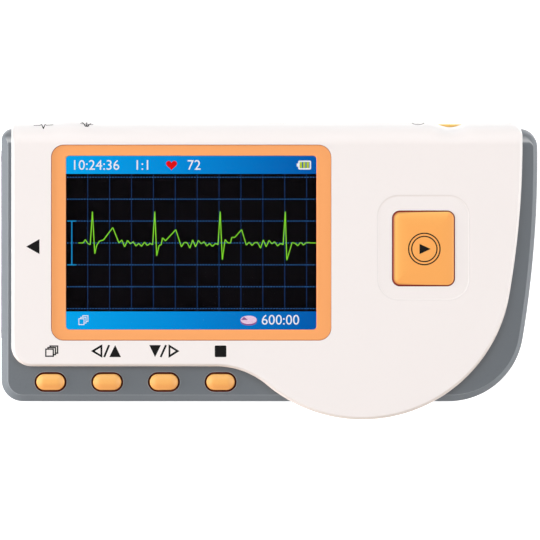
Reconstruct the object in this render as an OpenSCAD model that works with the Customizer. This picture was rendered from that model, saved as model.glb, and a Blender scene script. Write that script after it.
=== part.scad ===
// Hand-held single-lead ECG monitor with a wave-edged front cover.
// It lies on its back: +X is its right end as it is read, +Y its top edge
// and +Z its front. The origin is on the back face, under the middle.

/* [Body] */
// Length of the grey body, left end to right end
body_w = 125; // [123:0.5:130]
// Height of the grey body, bottom edge to top edge
body_h = 63.6; // [62.8:0.2:66]
// Thickness from the back face to the face of the front cover
body_depth = 20; // [19.8:0.2:23]
// Wall of the front frame and the rear case
wall = 1.6; // [1.4:0.1:1.8]
// Height of the line where the front frame meets the rear case
parting_z = 9; // [8.8:0.1:9.1]
// Radius of the bowed right end
end_r = 254; // [220:2:320]
// Distance from the top edge to the widest point of the right end
end_peak = 7.3; // [6:0.1:9]
// Corner radius at the bottom left of the body
corner_bl = 5; // [4:0.1:6]
// Corner radius at the bottom right of the body
corner_br = 17.5; // [16:0.1:18.5]
// Corner radius at the top right of the body
corner_tr = 4.2; // [4:0.1:5.5]
// Corner radius at the top left of the body
corner_tl = 2.5; // [2:0.1:4]

/* [Body edges] */
// Width of the slope along the left end of the grey face
slope_left = 1.5; // [1:0.1:1.8]
// Width of the slope along the right end of the grey face
slope_right = 0.9; // [0.6:0.1:1.8]
// Width of the slope along the bottom of the grey face
slope_bottom = 1.45; // [1:0.05:1.8]
// Height of those slopes
slope_h = 1.5; // [1:0.1:2]
// Depth of the rounded shoulder at the top of the body, across it
roll_w = 4.05; // [3.5:0.05:4.5]
// Height of the rounded shoulder at the top of the body
roll_h = 4.9; // [4.5:0.1:5]
// How far the back edge is rounded inwards
back_round_w = 2.6; // [1.5:0.1:3]
// How far the back edge is rounded upwards
back_round_h = 3.2; // [2:0.1:4]

/* [Front cover] */
// Thickness of the cover's plate over the grey face
cover_t = 1.8; // [1.6:0.1:2]
// Margin of grey left of the cover
cover_left_gap = 2.35; // [1.9:0.05:3]
// Margin of grey right of the cover
cover_right_gap = 3.5; // [3:0.05:5]
// Height of the strip below the cover that holds the keys
key_strip = 8.15; // [8.1:0.05:8.6]
// How far the cover's top wall stands out from the body
cover_overhang = 1.45; // [1.3:0.05:1.7]
// Radius of the round bulge at the lower right
bulge_r = 34.75; // [33.5:0.25:35.5]
// How far the bulge hangs below the body's bottom edge
bulge_drop = 4.25; // [3.5:0.05:4.6]
// How far the bulge's circle stays inside the cover's right end
bulge_setback = 2.6; // [2:0.1:4]
// Radius of the hollow wave between the lower edge and the bulge
wave_r = 18.5; // [14:0.5:24]
// Radius of the cover's right end
cover_end_r = 205; // [180:1:240]
// Corner radius at the bottom left of the cover
cover_bl = 4.7; // [3:0.1:6]
// Corner radius at the top left of the cover
cover_tl = 1.6; // [1.2:0.1:2.5]
// Corner radius at the top right of the cover
cover_tr = 3; // [2:0.1:4]
// Depth of the cover's rounded top shoulder, across it
cover_roll_w = 5.3; // [5:0.1:5.6]
// Height of the cover's rounded top shoulder
cover_roll_h = 5.5; // [5.2:0.1:5.8]
// Rounding of the cover's rim
rim_r = 0.75; // [0.5:0.05:1]
// Height at which the top wall and the bulge skirt end above the back
skirt_z = 5; // [4.5:0.1:6]
// Wall of the bulge skirt
skirt_wall = 1.5; // [1.2:0.1:1.8]

/* [Display] */
// Width of the orange border round the display
border_w = 65.3; // [64.8:0.1:66]
// Height of the orange border
border_h = 45.6; // [45.3:0.1:46]
// Corner radius of the border
border_r = 3; // [2:0.1:4]
// Width of the border's window
window_w = 58.4; // [57:0.1:59]
// Height of the border's window
window_h = 40.5; // [39.5:0.1:41]
// Corner radius of the window
window_r = 0.8; // [0.5:0.1:1.5]
// Distance from the cover's left end to the border
border_left = 9.25; // [9:0.05:11]
// Distance from the cover's top edge to the border
border_top = 5.25; // [5.1:0.05:5.4]
// How far the border lies below the cover's face
border_sink = 0.25; // [0.1:0.05:0.3]
// Thickness of the clear lens
lens_t = 0.8; // [0.6:0.05:0.85]
// Width of the display's lower glass
glass_w = 61; // [60.8:0.1:61.4]
// Height of the display's lower glass
glass_h = 43; // [42.8:0.1:43.4]

/* [Keys] */
// Length of an oval key
key_w = 6.6; // [6:0.1:7]
// Height of an oval key
key_h = 3.75; // [3.4:0.05:4]
// Gap between a key and its slot
key_gap = 0.4; // [0.3:0.05:0.45]
// Distance from the body's left end to the first key's centre
key_first = 11.45; // [11.2:0.05:12.5]
// How far the last key's centre lies past the start of the cover's wave
key_last = 1.1; // [0.5:0.1:2]
// Distance from the body's bottom edge to the keys' centres
key_low = 4.5; // [4.4:0.05:4.6]
// How far a key stands above the grey face
key_proud = 0.8; // [0.6:0.05:1]
// Travel of a key
key_travel = 0.5; // [0.4:0.05:0.5]
// Width of the measuring button
measure_w = 14.4; // [14:0.1:16]
// Height of the measuring button
measure_h = 17.4; // [16:0.1:18.5]
// Corner radius of the measuring button
measure_r = 1.8; // [1:0.1:3]
// Gap between the measuring button and the cover
measure_gap = 0.15; // [0.15:0.05:0.3]
// Distance from the body's right end to the measuring button's centre
measure_right = 26.6; // [25.5:0.1:27.5]
// Distance from the cover's top edge to the measuring button's centre
measure_down = 29.4; // [28.5:0.1:30.5]
// How far the measuring button stands above the cover's face
measure_proud = 0.3; // [0.1:0.05:0.5]
// Travel of the measuring button
measure_travel = 0.6; // [0.5:0.05:0.6]
// Width of the well round the measuring button
well_w = 21.6; // [20:0.1:23]
// Height of the well round the measuring button
well_h = 24.5; // [23:0.1:26]
// Depth of the well
well_d = 0.3; // [0.2:0.05:0.8]
// Length of the power button
power_w = 6.2; // [5:0.1:6.4]
// Height of the power button
power_h = 3.2; // [2.8:0.1:3.3]
// Distance from the body's right end to the power button's centre
power_right = 20.4; // [19.5:0.1:21.5]
// Height of the power button's centre above the back
power_z = 11; // [10.9:0.05:11.2]
// How far the power button stays below the top edge
power_sink = 0.35; // [0.3:0.05:0.6]
// Travel of the power button
power_travel = 0.6; // [0.5:0.05:0.6]
// Depth of the finger dip round the power button
dip_d = 1.1; // [0.9:0.05:1.15]
// Width of the finger dip
dip_w = 10.3; // [10:0.1:12]

/* [Lead port] */
// Distance from the body's left end to the port's centre
port_left = 16.3; // [15.5:0.1:17.5]
// Width of the port's metal shell
port_w = 7.7; // [7.2:0.1:8]
// Height of the port's metal shell
port_h = 3.9; // [3.6:0.1:4]
// Depth of the port along the board
port_d = 7.8; // [7.4:0.1:8]
// Width of the swell of the top edge round the port
swell_w = 14; // [12:0.5:16]
// Height of the swell
swell_h = 0.45; // [0.3:0.05:0.6]

/* [Electrodes] */
// Thickness of the metal plates
plate_t = 0.8; // [0.7:0.05:0.9]
// How far the left plate stands out from the left end
plate_proud = 0.25; // [0.15:0.05:0.35]
// Length of the left plate along the end
left_plate_l = 43.9; // [42:0.1:45]
// Height of the left plate
left_plate_h = 9.6; // [9:0.1:10]
// Distance from the body's top edge to the left plate
left_plate_top = 5; // [4.5:0.1:6]
// Width of the two plates on the back
back_plate_w = 20; // [18:0.5:20.5]
// Height of the upper plate on the back
finger_plate_h = 13; // [11:0.5:13.5]
// Height of the lower plate on the back
palm_plate_h = 21; // [18:0.5:21.5]
// Distance from the right end to the centres of the plates on the back
back_plate_right = 19.6; // [19:0.1:20.5]
// Depth of the back plates below the back face
back_plate_sink = 0.1; // [0.05:0.05:0.2]

/* [Battery bay] */
// Diameter of a cell
cell_d = 10.5; // [10.3:0.1:10.5]
// Length of a cell with its nub
cell_l = 44.5; // [44:0.1:44.7]
// Distance from the body's left end to the bay's centre
bay_left = 35.4; // [35.2:0.1:35.8]
// Space for a spring at one end of the bay
spring_l = 5.2; // [4.8:0.1:5.6]
// Thickness of the battery door
door_t = 1.5; // [1.4:0.05:1.6]
// Height of the door's lip up the bottom edge
lip_h = 7; // [6:0.1:7.4]

/* [Electronics] */
// Thickness of the main board
board_t = 1; // [0.8:0.05:1]
// Height of the main board's lower face above the back
board_z = 13.4; // [13.4:0.05:13.45]

/* [Hidden] */
$fn = 64;
// Smallest corner radius left by an inset, and the overlap of a cut past a face
min_r = 0.3;
eps = 0.05;
far = 200;

// Edges of the grey body
body_l = -(body_w - plate_proud) / 2;
body_r = body_l + body_w;
body_b = bulge_drop - (body_h + cover_overhang + swell_h + bulge_drop) / 2;
body_t = body_b + body_h;
face_z = body_depth - cover_t;
end_c = [body_r - end_r, body_t - end_peak];

// Edges of the front cover
cover_l = body_l + cover_left_gap;
cover_r = body_r - cover_right_gap;
cover_b = body_b + key_strip;
cover_top = body_t + cover_overhang;
bulge_c = [cover_r - bulge_setback - bulge_r, body_b - bulge_drop + bulge_r];
wave_y = cover_b - wave_r;
wave_c = [bulge_c.x - sqrt(pow(wave_r + bulge_r, 2) - pow(bulge_c.y - wave_y, 2)), wave_y];
wave_a = atan2(bulge_c.y - wave_c.y, bulge_c.x - wave_c.x);
join_a = -acos(1 - bulge_setback / (cover_end_r - bulge_r));
cover_end_c = bulge_c - (cover_end_r - bulge_r) * [cos(join_a), sin(join_a)];
// The middle of the caps' fans, from which both outlines can be seen whole
hub = [bulge_c.x - bulge_r / 3, bulge_c.y];

// Places of the display, keys and buttons
border_c = [cover_l + border_left + border_w / 2, cover_top - border_top - border_h / 2];
key_y = body_b + key_low;
key_count = 4;
key_pitch = (wave_c.x + key_last - body_l - key_first) / (key_count - 1);
key_x = [for (i = [0 : key_count - 1]) body_l + key_first + i * key_pitch];
measure_c = [body_r - measure_right, cover_top - measure_down];
power_x = body_r - power_right;
port_x = body_l + port_left;

// Heights of the display's layers, from the board upwards
frame_plate = 1.4;
plate_z = face_z - frame_plate;
board_top = board_z + board_t;
tray_floor = 0.4;
glass_t = 1.7;
top_glass_t = 0.6;
top_step = 0.45;
glass_r = 0.2;
border_z = body_depth - border_sink;
lip_t = 0.4;
lens_top = border_z - lip_t;
lens_z = lens_top - lens_t;
border_gap = 0.05;
glass_top = face_z - border_gap;
glass_mid = glass_top - top_glass_t;
glass_z = glass_mid - glass_t;
fit = 0.15;
glass_gap = 0.3;
ribbon_w = 12;
tray_wall = 1.1;
tray_w = glass_w + 2 * (fit + tray_wall);
tray_h = glass_h + 2 * (fit + tray_wall);
tray_top = plate_z - fit;
tray_r = 0.8;
display_end = border_c.x + tray_w / 2;
lip_w = 1;
rebate_w = window_w + 2 * lip_w;
rebate_h = window_h + 2 * lip_w;
rebate_r = 0.5;
ribbon_t = 0.2;
ribbon_out = 0.8;
ribbon_slope = 1.6;
connector_w = 3;
connector_h = 1.3;
connector_side = 1.2;

// Keys, buttons and the switches under them
flange_t = 0.6;
flange_rim = 0.35;
flange_gap = 0.2;
key_round = 0.55;
key_base = plate_z - flange_gap - flange_t;
press_gap = 0.1;
key_switch_top = key_base - key_travel - press_gap;
measure_flange_t = 0.8;
measure_flange_rim = 0.8;
measure_base = face_z - flange_gap - measure_flange_t;
measure_stem_d = 4;
key_switch_w = 3.4;
key_plunger_d = 1.6;
plunger_up = 0.3;
measure_switch_w = 6;
measure_plunger_d = 3;
measure_switch_top = board_top + 0.9;
measure_round = 0.6;
measure_room = measure_flange_rim + 0.4;
well_slope = 0.7;
well_r = 4.6;
power_y = cover_top - power_sink;
power_flange_y = body_t - wall - 0.4;
power_flange_t = 0.9;
power_round = 0.35;
power_rim = 0.5;
power_gap = 0.15;
power_switch_w = 6.2;
power_switch_d = 3;
power_switch_low = 1.6;
power_plunger_d = 1.8;
power_switch_y = power_flange_y - power_flange_t - power_travel - press_gap;

// Lead port
port_top = board_z;
port_z = port_top - port_h / 2;
port_face = body_t + cover_overhang - 0.4;
port_room = 0.3;
port_shell = 0.3;
port_r = 0.8;
tongue_t = 1;
tongue_in = 1.2;
port_back = 1.6;

// Battery bay
cell_gap = 0.4;
bay_wall = 1;
cell_side = 0.3;
contact_t = 0.4;
bay_l = cell_l + spring_l + 2 * contact_t;
bay_w = 2 * cell_d + cell_gap + 2 * cell_side;
bay_x = body_l + bay_left;
lip_wall = 1.3;
lip_gap = 0.3;
bay_b = body_b + max(lip_wall + lip_gap, wall + fit) + bay_wall;
bay_y = bay_b + bay_w / 2;
cell_z = door_t + 0.35 + cell_d / 2;
bay_top = cell_z + cell_d / 2 + 0.25;
bay_roof = 0.6;
cell_rib = [0.8, 2];
cell_rib_in = 6;
nub_l = 0.8;
nub_d = 3.8;
contact_w = 8;
spring_base_r = 3.4;
spring_tip_r = 1.6;
spring_turns = 5;
spring_wire = 0.3;
cell_y = [bay_y - (cell_d + cell_gap) / 2, bay_y + (cell_d + cell_gap) / 2];

// Battery door: an outer plate as wide as its opening, and wider tongues above it
door_w = bay_l + 1.4;
tongue_w = door_w + 2;
door_gap = 0.2;
tongue_z = door_t / 2 + 0.1;
tongue_gap = 0.05;
door_end = bay_b + bay_w + 1.4;
tongue_reach = 1;
ledge_t = 0.9;
ledge_w = 1.2;
tongue_room = 0.1;
case_floor = wall;
grip_w = 12;
grip_d = 0.3;
grip_count = 6;
grip_pitch = 1.3;

// Screws that hold the case together, and those that hold the board
boss_d = 4.8;
screw_d = 2;
screw_l = 10;
screw_head_d = 3.8;
screw_head_t = 1.5;
screw_seat = 3.5;
screw_room = 0.2;
boss_from_left = [4.8, 4.8];
boss_from_top = 5.3;
boss_from_right = [6, 5.9];
boss_in_bulge = [22.9, 8.6];
screw_at = [
    [body_l + boss_from_left.x, body_b + boss_from_left.y],
    [body_l + boss_from_left.x, body_t - boss_from_top],
    [body_r - boss_from_right.x, body_t - boss_from_right.y],
    [bulge_c.x + boss_in_bulge.x, body_b + boss_in_bulge.y]
];
board_screw_d = 1.6;
board_screw_l = 2.8;
board_head_d = 3.2;
board_head_t = 1.1;
stud_d = 4.4;
stud_from_bay = [5.4, 22.5];
stud_from_display = [6.6, 12.4];
stud_from_end = [9.6, 26.4];
stud_in_bulge = [1.4, 8.6];
stud_at = [
    [body_l + stud_from_bay.x, bay_y + stud_from_bay.y],
    [display_end + stud_from_display.x, cover_top - stud_from_display.y],
    [body_r - stud_from_end.x, cover_top - stud_from_end.y],
    [bulge_c.x + stud_in_bulge.x, body_b + stud_in_bulge.y]
];

// Stakes that hold the cover on the frame
stake_d = 1.8;
stake_l = 1.3;
stake_from_left = [4.4, 5];
stake_from_top = 10.4;
stake_from_display = [12, 8.6];
stake_from_end = [10.5, 14];
stake_in_bulge = [-7, -1.5];
stake_at = [
    [cover_l + stake_from_left.x, cover_b + stake_from_left.y],
    [cover_l + stake_from_left.x, cover_top - stake_from_top],
    [display_end + stake_from_display.x, cover_top - stake_from_display.y],
    [body_r - stake_from_end.x, cover_top - stake_from_end.y],
    [bulge_c.x + stake_in_bulge.x, cover_b + stake_in_bulge.y]
];

// Electrodes
left_plate_y = body_t - left_plate_top - left_plate_l / 2;
left_plate_low = 4.2;
left_plate_z = left_plate_low + left_plate_h / 2;
left_plate_r = 3;
plate_fit = 0.1;
back_plate_x = body_r - back_plate_right;
back_plate_r = 5;
back_plate_top = 7.4;
back_plate_apart = 5.5;
finger_y = body_t - back_plate_top - finger_plate_h / 2;
palm_y = finger_y - (finger_plate_h + palm_plate_h) / 2 - back_plate_apart;
contact_hole_d = 4;
back_spring_d = 3;
back_spring_wire = 0.2;
back_spring_turns = 8;
spring_out = 5;
spring_at = [[back_plate_x + spring_out, finger_y], [back_plate_x + spring_out, palm_y - spring_out + 1]];
side_hole_d = 3.2;
side_hole_drop = 2.4;
side_hole_z = board_z - side_hole_drop;
side_contact_up = 10;
side_contact_y = left_plate_y + side_contact_up;
side_contact_w = 2.4;
side_contact_t = 0.25;
side_contact_foot = 2.5;

// The board, and the parts on it, placed from the bay, the display and the bulge
board_edge = 2.4;
board_room = 0.4;
bay_end = bay_x + bay_l / 2 + bay_wall;
leg_drop = 0.1;
processor_w = 12;
processor_t = 1.4;
processor_legs = 9;
processor_pitch = 1.2;
processor_leg = [1, 0.5];
processor_from_bay = [11.35, 5];
processor_c = [bay_end + processor_from_bay.x, bay_y + processor_from_bay.y];
chip_w = 5;
chip_h = 6;
chip_t = 1.3;
chip_legs = 4;
chip_pitch = 1.27;
chip_leg = [1.4, 0.4];
chip_step = 10;
chip_from_processor = 14;
chip_from_display = [-9, 4];
chip_at = [
    [display_end + chip_from_display.x, border_c.y + chip_from_display.y],
    [processor_c.x + chip_from_processor, processor_c.y],
    [processor_c.x + chip_from_processor + chip_step, processor_c.y]
];
shield_w = 22;
shield_h = 15;
shield_t = 2.6;
shield_wall = 0.3;
shield_c = [display_end + shield_w / 2 + 2 * board_room, border_c.y];
crystal_w = 10.5;
crystal_h = 4;
crystal_t = 3.4;
crystal_c = [bulge_c.x + (stud_in_bulge.x + boss_in_bulge.x) / 2, body_b + boss_in_bulge.y];
buzzer_d = 12;
buzzer_t = 2.6;
buzzer_hole_d = 2;
buzzer_from_display = [-9.75, 14.5];
buzzer_c = [display_end + buzzer_from_display.x, border_c.y + buzzer_from_display.y];
sound_hole_d = 1.2;
sound_ring_r = 3;

// Points along an arc, with both of its ends
function arc(c, r, a0, a1, n) =
    [for (i = [0 : n]) let (a = a0 + (a1 - a0) * i / n) c + r * [cos(a), sin(a)]];

// The same points without the two ends, which the neighbouring arcs already have
function inner_arc(c, r, a0, a1, n) =
    [for (i = [1 : n - 1]) let (a = a0 + (a1 - a0) * i / n) c + r * [cos(a), sin(a)]];

// A smooth hump of height 1 round the middle of a width
function hump(x, w) = abs(x) < w / 2 ? (1 + cos(360 * x / w)) / 2 : 0;

// How far a quarter ellipse of this width and height has drawn in at a share of its height
function quarter(w, share) = w * (1 - sqrt(max(1 - pow(max(share, 0), 2), 0)));

// Centre of a corner that touches the level y and the inside of a large circle
function corner_in(c, big_r, r, y) = [c.x + sqrt(pow(big_r - r, 2) - pow(y - c.y, 2)), y];
function angle_from(c, p) = atan2(p.y - c.y, p.x - c.x);

// Outline of the grey body, drawn in by its own amount at each side.
// The bulge of the rear case, if any, breaks the bottom edge.
function body_outline(left, right, top, bottom, bulge = 0) =
    let (
        x = body_l + left,
        y = body_b + bottom,
        t = body_t - top,
        big_r = end_r - right,
        r1 = max(corner_bl - max(left, bottom), min_r),
        r2 = max(corner_br - max(right, bottom), min_r),
        r3 = max(corner_tr - max(right, top), min_r),
        r4 = max(corner_tl - max(left, top), min_r),
        c2 = corner_in(end_c, big_r, r2, y + r2),
        c3 = corner_in(end_c, big_r, r3, t - r3),
        a2 = angle_from(end_c, c2),
        a3 = angle_from(end_c, c3),
        bulge_a = bulge > 0 ? asin((y - bulge_c.y) / bulge) : 0
    )
    concat(
        arc([x + r1, y + r1], r1, 180, 270, 8),
        bulge > 0 ? arc(bulge_c, bulge, -180 - bulge_a, bulge_a, 16) : [],
        arc(c2, r2, -90, a2, 14),
        inner_arc(end_c, big_r, a2, a3, 7),
        arc(c3, r3, a3, 90, 7),
        arc([x + r4, t - r4], r4, 90, 180, 5)
    );

function even_outline(d, bulge = 0) = body_outline(d, d, d, d, bulge == 0 ? 0 : bulge - d);

// The rear case's bulge sits just inside the cover's skirt
rear_bulge_r = bulge_r - skirt_wall - 0.1;

// Outline of the front cover, drawn in by d, and at the top by top.
// The swell and the finger dip of the top edge fade out as fade goes to 0.
function cover_outline(d, top, fade) =
    let (
        x = cover_l + d,
        y = cover_b + d,
        t = cover_top - top,
        big_r = cover_end_r - d,
        r1 = max(cover_bl - d, min_r),
        r3 = max(cover_tr - max(d, top), min_r),
        r4 = max(cover_tl - max(d, top), min_r),
        c3 = corner_in(cover_end_c, big_r, r3, t - r3),
        a3 = angle_from(cover_end_c, c3)
    )
    concat(
        arc([x + r1, y + r1], r1, 180, 270, 9),
        arc(wave_c, wave_r + d, 90, wave_a, 6),
        inner_arc(bulge_c, bulge_r - d, wave_a - 180, join_a, 26),
        arc(cover_end_c, big_r, join_a, a3, 8),
        inner_arc(c3, r3, a3, 90, 7),
        [[c3.x, t]],
        [for (i = [7 : -1 : -7]) let (u = dip_w * i / 14)
            [power_x + u, t - fade * dip_d * hump(u, dip_w)]],
        [for (i = [7 : -1 : -7]) let (u = swell_w * i / 14)
            [port_x + u, t + fade * swell_h * hump(u, swell_w)]],
        arc([x + r4, t - r4], r4, 90, 180, 5)
    );

// Outline of a rounded rectangle and of a slot with round ends, drawn in by d
function pad_outline(w, h, r, d = 0, n = 5) =
    let (q = max(r - d, 0.05), a = w / 2 - d - q, b = h / 2 - d - q)
    concat(
        arc([a, -b], q, -90, 0, n),
        arc([a, b], q, 0, 90, n),
        arc([-a, b], q, 90, 180, n),
        arc([-a, -b], q, 180, 270, n)
    );
function slot_outline(w, h, d = 0, n = 10) =
    let (q = h / 2 - d, a = (w - h) / 2)
    concat(arc([a, 0], q, -90, 90, n), arc([-a, 0], q, 90, 270, n));

// A closed solid through a stack of outlines with equal numbers of points
module loft(rings, levels, middle = [0, 0]) {
    n = len(rings[0]);
    last = len(rings) - 1;
    low = n * (last + 1);
    points = concat(
        [for (k = [0 : last]) each [for (p = rings[k]) [p.x, p.y, levels[k]]]],
        [[middle.x, middle.y, levels[0]], [middle.x, middle.y, levels[last]]]
    );
    faces = concat(
        [for (i = [0 : n - 1]) [low, i, (i + 1) % n]],
        [for (i = [0 : n - 1]) [low + 1, last * n + (i + 1) % n, last * n + i]],
        [for (k = [0 : last - 1], i = [0 : n - 1]) let (a = k * n, b = a + n, j = (i + 1) % n)
            each [[a + i, b + i, b + j], [a + i, b + j, a + j]]]
    );
    polyhedron(points, faces, convexity = 6);
}

// Plain prism over an outline, between two heights
module prism(outline, low, high) {
    translate([0, 0, low]) linear_extrude(high - low) polygon(outline);
}

module block(low, high) {
    translate(low) cube(high - low);
}

module pad(w, h, r, low, high) {
    prism(pad_outline(w, h, r), low, high);
}

module peg(d, low, high) {
    translate([0, 0, low]) cylinder(d = d, h = high - low);
}

// Profile in the YZ plane, carried along X between two places
module bar_along_x(profile, x0, x1) {
    translate([x0, 0, 0]) rotate([90, 0, 90]) linear_extrude(x1 - x0) polygon(profile);
}

// Wire wound round the Z axis as one tube, with its radius changing evenly
module coil(r0, r1, height, turns, wire_r, steps = 12, sides = 6) {
    n = turns * steps;
    dead = 0.75;
    ring = [for (k = [0 : n]) let (
            u = k / n,
            a = 360 * k / steps,
            climb = max(0, min(1, (k / steps - dead) / (turns - 2 * dead))),
            r = r0 + (r1 - r0) * u,
            z = wire_r + (height - 2 * wire_r) * climb
        ) each [for (i = [0 : sides - 1]) let (b = 360 * i / sides)
            [(r + wire_r * cos(b)) * cos(a), (r + wire_r * cos(b)) * sin(a),
                z + wire_r * sin(b)]]];
    last = n * sides;
    polyhedron(
        ring,
        concat(
            [[for (i = [0 : sides - 1]) i]],
            [[for (i = [sides - 1 : -1 : 0]) last + i]],
            [for (k = [0 : n - 1], i = [0 : sides - 1])
                let (a = k * sides, b = a + sides, j = (i + 1) % sides)
                each [[a + i, b + i, b + j], [a + i, b + j, a + j]]]
        ),
        convexity = 10
    );
}

// Heights at which the front shells have a ring, and how far each side draws in there
frame_levels = [
    parting_z, face_z - roll_h, face_z - roll_h * 0.8, face_z - roll_h * 0.58,
    face_z - slope_h, face_z - slope_h * 0.62, face_z - slope_h * 0.24,
    face_z - slope_h * 0.08, face_z
];
function slope_share(z) =
    lookup(1 - (face_z - z) / slope_h, [[0, 0], [0.76, 0.8], [0.92, 0.93], [1, 1.06]]);
function frame_roll(z) = quarter(roll_w, 1 - (face_z - z) / roll_h);

cover_sines = [0, 12, 24, 36, 48, 57, 64, 70, 76, 82, 86, 90];
cover_levels = concat(
    [skirt_z, skirt_z + 0.3],
    [for (a = cover_sines) body_depth - cover_roll_h * (1 - sin(a))]
);
function cover_roll(z) = quarter(cover_roll_w, 1 - (body_depth - z) / cover_roll_h);
function cover_rim(z) =
    z < skirt_z + 0.1 ? 0.3 : quarter(rim_r, 1 - (body_depth - z) / rim_r);

back_sines = [0, 18, 36, 54, 72, 90];
back_steps = [for (a = back_sines) back_round_h * (1 - cos(a))];
back_levels = concat(back_steps, [parting_z]);
function back_round(z) = z >= back_round_h ? 0
    : back_round_w - sqrt(1 - pow(1 - z / back_round_h, 2)) * back_round_w;

// The body's section across X, under the front cover
frame_section = concat(
    [[body_b, -eps], [body_b, face_z - slope_h]],
    [for (z = frame_levels) if (z > face_z - slope_h) [body_b + slope_bottom * slope_share(z), z]],
    [for (i = [len(frame_levels) - 1 : -1 : 1])
        [body_t - frame_roll(frame_levels[i]), frame_levels[i]]],
    [[body_t, -eps]]
);

module at_border() {
    translate([border_c.x, border_c.y, 0]) children();
}

module at_measure() {
    translate([measure_c.x, measure_c.y, 0]) children();
}

// Slot-shaped bar through the top wall at the power button, from one depth to another
module power_bar(w, h, y0, y1) {
    translate([power_x, y1, power_z]) rotate([90, 0, 0])
        prism(slot_outline(w, h), 0, y1 - y0);
}

module front_cover() {
    color([0.96, 0.93, 0.925]) {
        difference() {
            loft(
                [for (z = cover_levels)
                    cover_outline(cover_rim(z), max(cover_roll(z), cover_rim(z)),
                        1 - cover_roll(z) / cover_roll_w)],
                cover_levels, hub
            );
            bar_along_x(frame_section, -far, far);
            prism(arc(bulge_c, bulge_r - skirt_wall, 180, 360, 40), 0, face_z);
            at_border() pad(border_w + 2 * fit, border_h + 2 * fit, border_r, 0, far);
            at_measure() {
                pad(measure_w + 2 * measure_gap, measure_h + 2 * measure_gap, measure_r, 0, far);
                loft(
                    [pad_outline(well_w, well_h, well_r, well_slope), pad_outline(well_w, well_h, well_r)],
                    [body_depth - well_d, body_depth + 0.01]
                );
            }
            power_bar(power_w + 2 * power_gap, power_h + 2 * power_gap, body_t - wall, far);
            translate([port_x, far, port_z]) rotate([90, 0, 0])
                pad(port_w + 2 * port_room, port_h + 2 * port_room, port_r, 0, far);
        }
        for (p = stake_at) translate(p) peg(stake_d, face_z - stake_l, face_z + eps);
    }
}

// The hollow of the front frame steps in where the top shoulder starts
inner_top = body_t - roll_w + 0.4;
hollow_section = [
    [body_b, parting_z - eps], [body_b, plate_z], [inner_top, plate_z],
    [inner_top, face_z - roll_h], [body_t, face_z - roll_h], [body_t, parting_z - eps]
];

// Strips of the rear case's rim that reach up inside the front frame
rim_step = 0.9;
rim_up = 1;
rim_gap = 0.1;
rim_past_port = 9;
rim_past_power = 8;
rim_in = 2;
module rim_strips(grow) {
    block(
        [port_x + rim_past_port - grow, body_t - wall - grow, parting_z - eps],
        [power_x - rim_past_power + grow, body_t - rim_step + grow, parting_z + rim_up + grow]
    );
    block(
        [bay_x - bay_l / 2 + rim_in - grow, body_b + rim_step - grow, parting_z - eps],
        [bay_x + bay_l / 2 - rim_in + grow, body_b + wall + grow, parting_z + rim_up + grow]
    );
}

// Recess or plate at the left end, from one depth to another
module left_pad(grow, x0, x1) {
    translate([x0, left_plate_y, left_plate_z]) rotate([90, 0, 90])
        pad(left_plate_l + 2 * grow, left_plate_h + 2 * grow, left_plate_r, 0, x1 - x0);
}

module front_frame() {
    color([0.42, 0.44, 0.47]) difference() {
        union() {
            difference() {
                loft(
                    [for (z = frame_levels) let (s = slope_share(z))
                        body_outline(s * slope_left, s * slope_right, frame_roll(z), s * slope_bottom)],
                    frame_levels, hub
                );
                intersection() {
                    prism(even_outline(wall), parting_z - 2 * eps, plate_z + eps);
                    bar_along_x(hollow_section, -far, far);
                }
            }
            for (p = screw_at) translate(p) peg(boss_d, parting_z, plate_z + eps);
            for (p = stud_at) translate(p) peg(stud_d, board_top, plate_z + eps);
        }
        at_border() pad(glass_w + 2 * glass_gap, glass_h + 2 * glass_gap, 0.6, board_top, far);
        at_measure()
            pad(measure_w + 2 * measure_room, measure_h + 2 * measure_room, 2.5, board_top, far);
        for (x = key_x) translate([x, key_y, 0])
            prism(slot_outline(key_w + 2 * key_gap, key_h + 2 * key_gap), board_top, far);
        for (p = stake_at) translate(p) peg(stake_d + 0.2, board_top, far);
        for (p = screw_at) translate(p) peg(screw_d + 0.05, 0, screw_seat + screw_l + 0.4);
        for (p = stud_at) translate(p) peg(board_screw_d + 0.05, 0, board_z + board_screw_l + 0.2);
        power_bar(power_w + 2 * power_gap, power_h + 2 * power_gap, inner_top, far);
        block(
            [port_x - port_w / 2 - port_room, inner_top - 2, 0],
            [port_x + port_w / 2 + port_room, far, port_top + port_room]
        );
        left_pad(plate_fit, body_l - 1, body_l + plate_t - plate_proud);
        translate([body_l - 1, side_contact_y, side_hole_z]) rotate([0, 90, 0])
            peg(side_hole_d, 0, wall + 2);
        rim_strips(rim_gap);
    }
}

// Groove and opening for the door, the wider groove above the thinner rim
module door_way() {
    block(
        [bay_x - door_w / 2 - door_gap, -far, -eps],
        [bay_x + door_w / 2 + door_gap, door_end + door_gap, tongue_z]
    );
    block(
        [bay_x - tongue_w / 2 - door_gap, -far, tongue_z - tongue_gap],
        [bay_x + tongue_w / 2 + door_gap, door_end + tongue_reach + door_gap, door_t + tongue_room]
    );
    block(
        [bay_x - door_w / 2 - door_gap, -far, -eps],
        [bay_x + door_w / 2 + door_gap, body_b + lip_wall + lip_gap, lip_h + door_gap]
    );
}

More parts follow.
